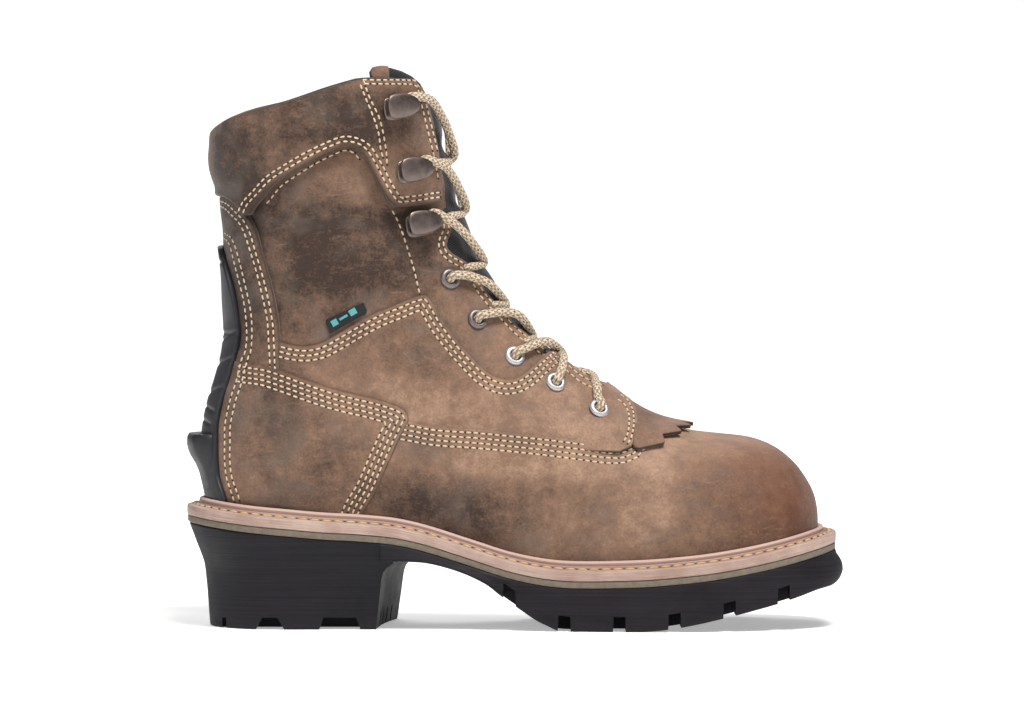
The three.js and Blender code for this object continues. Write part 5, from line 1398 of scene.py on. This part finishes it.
heel_rings = []
for share, back_reach, side_reach in HEEL_ROWS:
    backness = smoothstep(-feather[:, 0], 0.36 * LENGTH, 0.45 * LENGTH)
    reach = side_reach + (back_reach - side_reach) * backness
    x, y = beyond_feather(reach)
    breast_z = share * (welt_level(-52.0) + RUBBER_TOP)
    breast_x = np.interp(breast_z, breast_line[:, 1], breast_line[:, 0])
    ring = open_outline(x, y, breast_x + BREAST_LEAN * y - x, 220)
    across = np.linspace(0, 1, 26)[1:-1, None]
    front = ring[-1] + (ring[0] - ring[-1]) * across
    front[:, 0] -= 1.6 * np.sin(math.pi * across[:, 0])
    ring = np.concatenate([ring, front])
    heel_rings.append(np.column_stack([ring, (welt_level(ring[:, 0]) + RUBBER_TOP) * share]))
heel_points, heel_faces = loft(heel_rings)

fore_rings = []
FORE_REACH, TOE_FLARE = 8.7, 1.8
FORE_ROWS = [
    (0.0, -0.5), (0.04, -0.2), (0.2, 0.15), (0.4, 0.5), (0.6, 1.0), (0.8, 1.4), (0.94, 1.5),
    (0.985, 1.2), (1.0, 0.6)]
for share, beyond in FORE_ROWS:
    toe = smoothstep(feather[:, 0], 0.40 * LENGTH, 0.46 * LENGTH)
    reach = FORE_REACH + beyond + TOE_FLARE * toe * smoothstep(share, 0.05, 0.55)
    x, y = beyond_feather(reach)
    ring = open_outline(x, y, x + 62.0, 420)
    top = welt_level(ring[:, 0]) + RUBBER_TOP
    bottom = np.minimum(np.interp(ring[:, 0], tread_line[:, 0], tread_line[:, 1]), top - 2)
    fore_rings.append(np.column_stack([ring, top + (bottom - top) * share]))
fore_count = len(fore_rings[0])
fore_points, fore_faces = loft(fore_rings)
fore_faces = fore_faces[:-2]
for ring_start, turned in ((0, True), ((len(FORE_ROWS) - 1) * fore_count, False)):
    for i in range(fore_count // 2 - 1):
        ladder = [ring_start + k for k in (i, i + 1, fore_count - 2 - i, fore_count - 1 - i)]
        fore_faces.append(tuple(ladder[::-1] if turned else ladder))


def prism(outline, low, high):
    """A side-view outline pushed through from one y to another, as points and faces."""
    count = len(outline)
    points = [(x, y, z) for y in (low, high) for x, z in outline]
    faces = [tuple(range(count))[::-1], tuple(range(count, 2 * count))]
    faces += [(i, (i + 1) % count, count + (i + 1) % count, count + i) for i in range(count)]
    return points, faces


def tread_at(x):
    return float(np.interp(x, tread_line[:, 0], tread_line[:, 1]))


LUG_DEPTH, LUG_PITCH, LUG_GAP, LUG_COUNT = 7.0, 25.4, 7.5, 6
UNDER = -20.0
FAR_SIDE = 90.0
fore_cutters, heel_cutters = [], []
for lug in range(LUG_COUNT):
    lug_x = -0.0075 * LENGTH + lug * LUG_PITCH
    half_low, half_high = LUG_GAP / 2, LUG_GAP / 2 - 1.0
    notch = [(lug_x - half_low, UNDER), (lug_x + half_low, UNDER),
             (lug_x + half_high, tread_at(lug_x + half_high) + LUG_DEPTH),
             (lug_x - half_high, tread_at(lug_x - half_high) + LUG_DEPTH)]
    fore_cutters += [prism(notch, -FAR_SIDE, -0.72 * HALF_BALL), prism(notch, 0.72 * HALF_BALL, FAR_SIDE)]
    bar_x = lug_x + LUG_PITCH / 2
    sipe = [(bar_x - 2.5, UNDER), (bar_x + 2.5, UNDER), (bar_x + 2.5, tread_at(bar_x) + LUG_DEPTH),
            (bar_x - 2.5, tread_at(bar_x) + LUG_DEPTH)]
    fore_cutters.append(prism(sipe, -0.61 * HALF_BALL, 0.61 * HALF_BALL))
for notch_at, low_half, high_half, top_share in (
        (0.134, 0.0235, 0.0115, 0.0212), (0.2385, 0.0325, 0.0245, 0.0212), (0.0634, 0.0035, 0.0030, 0.018)):
    notch = place([(notch_at - low_half, -0.004), (notch_at + low_half, -0.004),
                   (notch_at + high_half, top_share), (notch_at - high_half, top_share)])
    heel_cutters += [prism(notch, -FAR_SIDE, -0.42 * HALF_BALL), prism(notch, 0.42 * HALF_BALL, FAR_SIDE)]
for slot_y in (-18.0, -6.0, 6.0, 18.0):
    breast_slot = [(-66.0, UNDER), (-40.0, UNDER), (-40.0, 10.0), (-66.0, 7.0)]
    heel_cutters.append(prism(breast_slot, slot_y - 1.3, slot_y + 1.3))
CHANNEL_STEPS = 160
channel_rings = []
for channel_reach, channel_top in ((-9.0, False), (-9.0, True), (-14.0, True), (-14.0, False)):
    x, y = beyond_feather(channel_reach)
    ring = open_outline(x, y, x + 8.0, CHANNEL_STEPS)
    tops = np.array([tread_at(at) + LUG_DEPTH if channel_top else UNDER for at in ring[:, 0]])
    channel_rings.append(np.column_stack([ring, tops]))
channel_rows = [np.array([ring[i] for ring in channel_rings]) for i in range(CHANNEL_STEPS)]
fore_cutters.append(loft(channel_rows))


def carve(name, points, faces, cutters):
    """A body cut by the cutters, as a plain mesh."""
    piece = new_piece(name, points, faces, outsole_finish, "outsole", smooth=False)
    face_outwards(piece)
    tools = []
    for cutter_points, cutter_faces in cutters:
        mesh = bpy.data.meshes.new("cutter")
        mesh.from_pydata([tuple(p) for p in np.asarray(cutter_points) * MM], [], cutter_faces)
        tool = bpy.data.objects.new("cutter", mesh)
        bpy.context.scene.collection.objects.link(tool)
        face_outwards(tool)
        tools.append(tool)
        modifier = piece.modifiers.new("cut", "BOOLEAN")
        modifier.operation = "DIFFERENCE"
        modifier.solver = "EXACT"
        modifier.object = tool
    shaped = bpy.data.meshes.new_from_object(piece.evaluated_get(bpy.context.evaluated_depsgraph_get()))
    piece.modifiers.clear()
    piece.data = shaped
    for tool in tools:
        bpy.data.objects.remove(tool)
    shaped.materials.clear()
    shaped.materials.append(outsole_finish)
    shaped.polygons.foreach_set("use_smooth", [True] * len(shaped.polygons))
    shaped.set_sharp_from_angle(angle=math.radians(35))
    return piece


heel_piece = carve("outsole_heel", heel_points, heel_faces, heel_cutters)
fore_piece = carve("outsole_forefoot", fore_points, fore_faces, fore_cutters)
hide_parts("outsole")
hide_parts("outsole")


# Eyelets. Pressed nickel rings with rolled rims, five down each side.
EYELETS = place([(0.403, 0.617), (0.445, 0.546), (0.501, 0.481), (0.560, 0.431), (0.6235, 0.381)])
HOOKS = place([(0.322, 0.921), (0.3425, 0.811), (0.366, 0.717)])


def seat(u, v, layer, level=None):
    """Origin and axes on the leather: forward to the throat, then sideways, then out. A level
    turns forward to a direction of the side view."""
    side = 1 if v > 0 else -1
    point, out = on_last(np.array([u]), np.array([v]))
    to_throat, from_throat = (on_last(np.array([u]), np.array([v + side * way]))[0] for way in (-0.02, 0.02))
    out, ahead = out[0], (to_throat - from_throat)[0]
    if level is not None:
        ahead = np.array([level[0], -(out[0] * level[0] + out[2] * level[1]) / out[1], level[1]])
    ahead = ahead - out * ahead.dot(out)
    ahead /= np.linalg.norm(ahead)
    return point[0] + out * layer, np.stack([ahead, np.cross(out, ahead), out])


WEAR = (260.0, 5.0, 0.65)
nickel_finish = grained_finish("satin_nickel", "#a2a2a7", "#d9d9dc", WEAR, rough=(0.42, 0.58), Metallic=1.0)
dark_nickel_finish = grained_finish(
    "black_nickel_eyelet", "#625d5d", "#948f90", WEAR, rough=(0.42, 0.56), Metallic=1.0)
EYELET_PROFILE = [
    (2.5, -2.6), (2.5, 0.9), (2.75, 1.35), (3.2, 1.55), (3.9, 1.5), (4.4, 1.25), (4.8, 0.8), (4.95, 0.45),
    (4.9, 0.1), (4.2, -0.1), (3.1, -0.1), (3.1, -2.6)]
eyelet_u, eyelet_v, _ = find_on_last(EYELETS[:, 0], EYELETS[:, 1], -1)
hook_u, hook_v, _ = find_on_last(HOOKS[:, 0], HOOKS[:, 1], -1)


HOOK_COUNT, EYELET_COUNT, ROUND_STEPS = 3, 5, 32
SIDES = (("lateral", -1), ("medial", 1))


def fitting_place(number, side):
    """A hook or an eyelet by its number from the top, with the height of the leather under it."""
    if number < HOOK_COUNT:
        u, v, height = hook_u[number], hook_v[number], collar_height if number < 2 else 0.0
    else:
        number -= HOOK_COUNT
        u, v, height = eyelet_u[number], eyelet_v[number], 0.0 if number < 3 else quarter_height
    v = abs(v) * side
    point = on_last(np.array([u]), np.array([v]))[0]
    return u, v, float(as_heights(height, point)[0] + relief(point)[0])


for side_name, side in SIDES:
    for i in range(EYELET_COUNT):
        origin, axes = seat(*fitting_place(HOOK_COUNT + i, side))
        rows = [origin + np.array([(r * math.cos(a), r * math.sin(a), h) for r, h in EYELET_PROFILE]) @ axes
                for a in np.linspace(0, 2 * math.pi, ROUND_STEPS + 1)[:-1]]
        count = len(EYELET_PROFILE)
        faces = [(k * count + r, (k + 1) % ROUND_STEPS * count + r,
                  (k + 1) % ROUND_STEPS * count + (r + 1) % count, k * count + (r + 1) % count)
                 for k in range(ROUND_STEPS) for r in range(count)]
        face_outwards(new_piece(f"eyelet_{side_name}_{i + 1}", np.concatenate(rows), faces,
                                dark_nickel_finish if i < 2 else nickel_finish, "eyelet",
                                [f"eyelet_{side_name}_{i + 1}"]))


# Hooks. Pressed steel plates, dark plated: a plate riveted to the leather, a neck towards the
# throat, and a rounded pad over the lace that curls down at its narrow end.
gunmetal_finish = grained_finish(
    "gunmetal_plate", "#4b4241", "#8a7d78", WEAR, rough=(0.36, 0.52), Metallic=1.0)


def pad_rows(length, width, thickness, front_narrow, curl, dome):
    """Cross-sections of a rounded pad along its length, as points ahead, sideways and out."""
    rows = []
    for share in np.concatenate([
            [0.0, 0.012, 0.04, 0.09], np.linspace(0.16, 0.84, 10), [0.91, 0.96, 0.988, 1.0]]):
        ahead = (share - 0.5) * length
        round_end = (1 - abs(2 * share - 1) ** 6.5) ** (1 / 3.2) if 0 < share < 1 else 0.0
        half = max(width / 2 * round_end * (1 - front_narrow * smoothstep(share, 0.35, 1.0)), 0.05)
        thick = max(thickness * min(1.0, round_end * 1.8), 0.05)
        drop = curl * smoothstep(share, 0.55, 1.0) ** 1.3
        ring = []
        for a in np.linspace(0, 2 * math.pi, 25)[:-1]:
            c, s = math.cos(a), math.sin(a)
            across = half * math.copysign(abs(c) ** 0.8, c)
            crown = dome * (1 - (across / (width / 2)) ** 2) * round_end
            ring.append((ahead, across, thick / 2 * math.copysign(abs(s) ** 0.7, s) + crown - drop))
        rows.append(np.array(ring))
    return rows


def joined(parts):
    points, faces = [], []
    for part_points, part_faces in parts:
        start = sum(len(p) for p in points)
        points.append(np.asarray(part_points))
        faces += [tuple(start + c for c in face) for face in part_faces]
    return np.concatenate(points), faces


# Length, width, thickness, narrowing, curl and dome of each plate, then where its middle sits
HOOK_PLATE, PLATE_AT = (15.0, 10.8, 1.3, 0.1, 0.0, 0.2), (-3.4, -0.8, 0.75)
HOOK_PAD, PAD_AT = (18.5, 11.6, 1.7, 0.36, 2.6, 0.5), (-3.0, 0.0, 7.0)
NECK_AHEAD, NECK_THICK, NECK_HALF = 2.2, 0.9, 2.2
NECK_ROWS = ((0.8, 0.0), (2.2, 0.5), (3.8, 0.7), (5.4, 0.5), (6.7, 0.0))
HOOK_LEVEL = (1.0, 0.16)
for side_name, side in SIDES:
    for i in range(HOOK_COUNT):
        origin, axes = seat(*fitting_place(i, side), HOOK_LEVEL)
        plate_part = [row + PLATE_AT for row in pad_rows(*HOOK_PLATE)]
        neck_rows = [np.array([(NECK_AHEAD + NECK_THICK * math.cos(a) + bow, NECK_HALF * math.sin(a), out)
                               for a in np.linspace(0, 2 * math.pi, 17)[:-1]]) for out, bow in NECK_ROWS]
        pad_part = [row + PAD_AT for row in pad_rows(*HOOK_PAD)]
        points, faces = joined([loft(plate_part), loft(neck_rows), loft(pad_part)])
        hook_name = f"hook_{side_name}_{i + 1}"
        face_outwards(new_piece(
            hook_name, origin + points @ axes, faces, gunmetal_finish, "hook", [hook_name]))


# Lace. A round braided cord of beige yarn with dark flecks, laced from the lowest eyelets to the
# hooks. Its two runs cross between each pair of fittings, and its ends stay at the top hooks.
LACE_RADIUS, CORD_SIDES = 2.05, 16
lace_finish, tree, shader = new_finish(
    "flecked_braid", Roughness=0.85, Sheen_Weight=0.2, Specular_IOR_Level=0.25)
braid_uv = add_node(tree, "ShaderNodeUVMap", uv_map="braid")
braid_parts = add_node(tree, "ShaderNodeSeparateXYZ", {0: braid_uv.outputs["UV"]})
STRANDS_ROUND, STRAND_PITCH = 12.0, 1.9


def braid_wave(turn):
    round_part = add_node(tree, "ShaderNodeMath", {
        0: braid_parts.outputs["Y"], 1: turn * STRANDS_ROUND / 2}, operation="MULTIPLY")
    along_part = add_node(tree, "ShaderNodeMath", {
        0: braid_parts.outputs["X"], 1: STRAND_PITCH * 0.62}, operation="MULTIPLY")
    both = add_node(tree, "ShaderNodeMath", {
        0: round_part.outputs[0], 1: along_part.outputs[0]}, operation="ADD")
    whole = add_node(tree, "ShaderNodeMath", {0: both.outputs[0], 1: 2 * math.pi}, operation="MULTIPLY")
    return add_node(tree, "ShaderNodeMath", {0: whole.outputs[0]}, operation="COSINE")


left_yarn, right_yarn = braid_wave(1), braid_wave(-1)
yarns = add_node(tree, "ShaderNodeMath", {
    0: left_yarn.outputs[0], 1: right_yarn.outputs[0]}, operation="MAXIMUM")
yarn_level = add_node(tree, "ShaderNodeMapRange", {
    "Value": yarns.outputs[0], "From Min": -0.4, "From Max": 1.0, "To Min": 0.0, "To Max": 1.0})
fleck_yarn = add_node(tree, "ShaderNodeMath", {
    0: left_yarn.outputs[0], 1: right_yarn.outputs[0]}, operation="MULTIPLY")
slow_along = add_node(tree, "ShaderNodeMath", {
    0: braid_parts.outputs["X"], 1: 2 * math.pi * STRAND_PITCH * 0.31}, operation="MULTIPLY")
slow_wave = add_node(tree, "ShaderNodeMath", {0: slow_along.outputs[0]}, operation="SINE")
fleck_sum = add_node(tree, "ShaderNodeMath", {
    0: fleck_yarn.outputs[0], 1: slow_wave.outputs[0]}, operation="MULTIPLY")
fleck = add_node(tree, "ShaderNodeMapRange", {
    "Value": fleck_sum.outputs[0], "From Min": 0.30, "From Max": 0.55, "To Min": 0.0, "To Max": 0.85})
# Painted shade: the braid darkens in the hollows between its yarns; the dark flecks are the yarn's own
# colour.
yarn_colour_with_hollow_shade = add_node(tree, "ShaderNodeMix", {
    "Factor": yarn_level.outputs[0], "A": linear("#8c765f"), "B": linear("#d8c8b2")}, data_type="RGBA")
fleck_colour = add_node(tree, "ShaderNodeMix", {
    "Factor": fleck.outputs[0], "A": yarn_colour_with_hollow_shade.outputs["Result"], "B": linear("#5b483b")}, data_type="RGBA")
tree.links.new(fleck_colour.outputs["Result"], shader.inputs["Base Color"])
braid_bump = add_node(tree, "ShaderNodeBump", {
    "Height": yarn_level.outputs[0], "Strength": 0.8, "Distance": 0.0005})
tree.links.new(braid_bump.outputs["Normal"], shader.inputs["Normal"])


def smooth_path(points, step=0.6, even=0.9):
    """A smooth path through points, in even steps."""
    made = smooth_line(points, step, 3)
    return even_steps(made, max(8, int(np.linalg.norm(np.diff(made, axis=0), axis=1).sum() / even)))


def tube(path, radius=LACE_RADIUS, sides=CORD_SIDES):
    """A round cord along a path: points, faces, and the way along it for its braid."""
    ahead = np.gradient(path, axis=0)
    ahead /= np.linalg.norm(ahead, axis=1, keepdims=True)
    across = np.cross(ahead[0], (0.3, 0.2, 1.0))
    rows, walked = [], 0.0
    along = [0.0]
    for i in range(len(path)):
        across = across - ahead[i] * across.dot(ahead[i])
        across /= np.linalg.norm(across)
        other = np.cross(ahead[i], across)
        round_angle = np.linspace(0, 2 * math.pi, sides + 1)[:-1, None]
        shrink = 0.35 if i in (0, len(path) - 1) else 1.0
        rows.append(path[i] + radius * shrink * (np.cos(round_angle) * across + np.sin(round_angle) * other))
        if i > 0:
            walked += np.linalg.norm(path[i] - path[i - 1])
            along.append(walked)
    points, faces = loft(rows)
    return points, faces, np.array(along)


def cord_place(x, z, offset, side):
    """The point of a cord that is seen at a side-view place, at an offset over the last."""
    target = np.array([x, z], float)
    for _ in range(6):
        u, v, _ = find_on_last(target[:1], target[1:], side)
        spot = on_form(u, v, np.array([offset]))[0]
        target += 0.8 * (np.array([x, z]) - spot[[0, 2]])
    return spot


# Each crossing: where the cord shows as it leaves the upper fitting, where it crosses the ridge,
# and where it goes in under the throat's edge above the lower fitting
LACE_SHOWN = [
    ([(428, 99, 8.6), (436, 106, 7.0), (447, 128, 4.2)], (457, 152), [(441, 162, -0.4)]),
    ([(438, 163.5, 8.6), (447, 168.5, 6.8), (457, 184, 4.2)], (466, 208), [(451, 216, -0.4)]),
    ([(448, 219.5, 4.4), (458, 226.5, 4.2), (472, 242, 4.0)], (484, 262), [(470, 267, -0.6)]),
    ([(464, 275, 3.3), (476, 277.8, 3.6), (491, 285, 3.8)], (506, 304), [(497, 305, -0.6)]),
    ([(492, 313.2, 3.3), (506, 311.8, 3.6), (521, 317, 4.0)], (533, 336), [(529, 341, -0.6)]),
    ([(526, 347.8, 3.3), (540, 342.6, 3.8), (551, 343, 4.2)], (560, 350), [(564, 357, 4.2), (562, 368, 4.6)]),
    ([(598, 397, 4.6), (597, 386, 4.6)], (592, 375), [(577, 371.5, -0.4)]),
]


def at_fitting(crossing, upper, side):
    """The hidden end of a strand, behind a hook's neck or down an eyelet's hole."""
    number = crossing if upper else crossing + 1
    u, v, layer = fitting_place(number, side)
    if number < HOOK_COUNT:
        origin, axes = seat(u, v, layer, HOOK_LEVEL)
        turn = -1 if upper else 1
        return [origin + np.array(row) @ axes for row in (
            (-1.4, turn * side * 0.4, 3.9), (0.4, turn * side * 2.6, 3.9), (4.2, turn * side * 3.7, 3.9))]
    origin, axes = seat(u, v, layer)
    return [origin - 2.4 * axes[2], origin + 0.4 * axes[2], origin + 2.6 * axes[2] + 1.6 * axes[0]]


for crossing, (leaving, middle_seen, entering) in enumerate(LACE_SHOWN):
    parts, braid_along = [], []
    hangs_from_lower = crossing == 6
    for side, lift in ((-1, 1.7), (1, -1.3)):
        offset = LACE_RADIUS + lift
        middle_x, middle_z = seen_at(middle_seen, 0.0)
        middle = cord_place(middle_x, middle_z, offset, side)
        middle[1] = 0.0
        route = at_fitting(crossing, not hangs_from_lower, side)
        route += [cord_place(*seen_at((x, z), 22.0), height, side) for x, z, height in leaving]
        route.append(middle)
        ends = [cord_place(*seen_at((x, z), 22.0), height, -side) for x, z, height in entering]
        if crossing == 5:
            ends += at_fitting(crossing, False, -side)[::-1]
        else:
            inward = ends[-1] - middle
            ends.append(ends[-1] + inward / np.linalg.norm(inward) * 3.0 - np.array([1.6, side * 0.4, 0.6]))
        route_points = np.array(route + ends)
        points, faces, along = tube(smooth_path(route_points))
        parts.append((points, faces))
        braid_along.append(along)
    points, faces = joined(parts)
    piece = new_piece(f"lace_crossing_{crossing + 1}", points, faces, lace_finish, "lace",
                      [f"lace_crossing_{crossing + 1}"])
    braid_layer = piece.data.uv_layers.new(name="braid")
    strand_starts = [0, len(parts[0][0])]
    for polygon in piece.data.polygons:
        corners = list(polygon.vertices)
        strand = 0 if corners[0] < strand_starts[1] else 1
        turns = [(corner - strand_starts[strand]) % CORD_SIDES / CORD_SIDES for corner in corners]
        wraps = max(turns) - min(turns) > 0.5
        for corner, turn, loop in zip(corners, turns, polygon.loop_indices):
            row = (corner - strand_starts[strand]) // CORD_SIDES
            way_round = turn + (1 if wraps and turn < 0.5 else 0)
            braid_layer.data[loop].uv = (braid_along[strand][row] / (2 * LACE_RADIUS), way_round)
    face_outwards(piece)


# Insole. A felted footbed on the sole inside the upper. It keeps the shape that the model gives it.
insole_finish = grained_finish(
    "felted_insole", "#3b3835", "#6b655e", (900.0, 4.0, 0.7), (0.5, 0.0005), Roughness=0.95,
    Sheen_Weight=0.3, Specular_IOR_Level=0.2)
for material_slot in bpy.data.objects["insole"].material_slots:
    material_slot.material = insole_finish
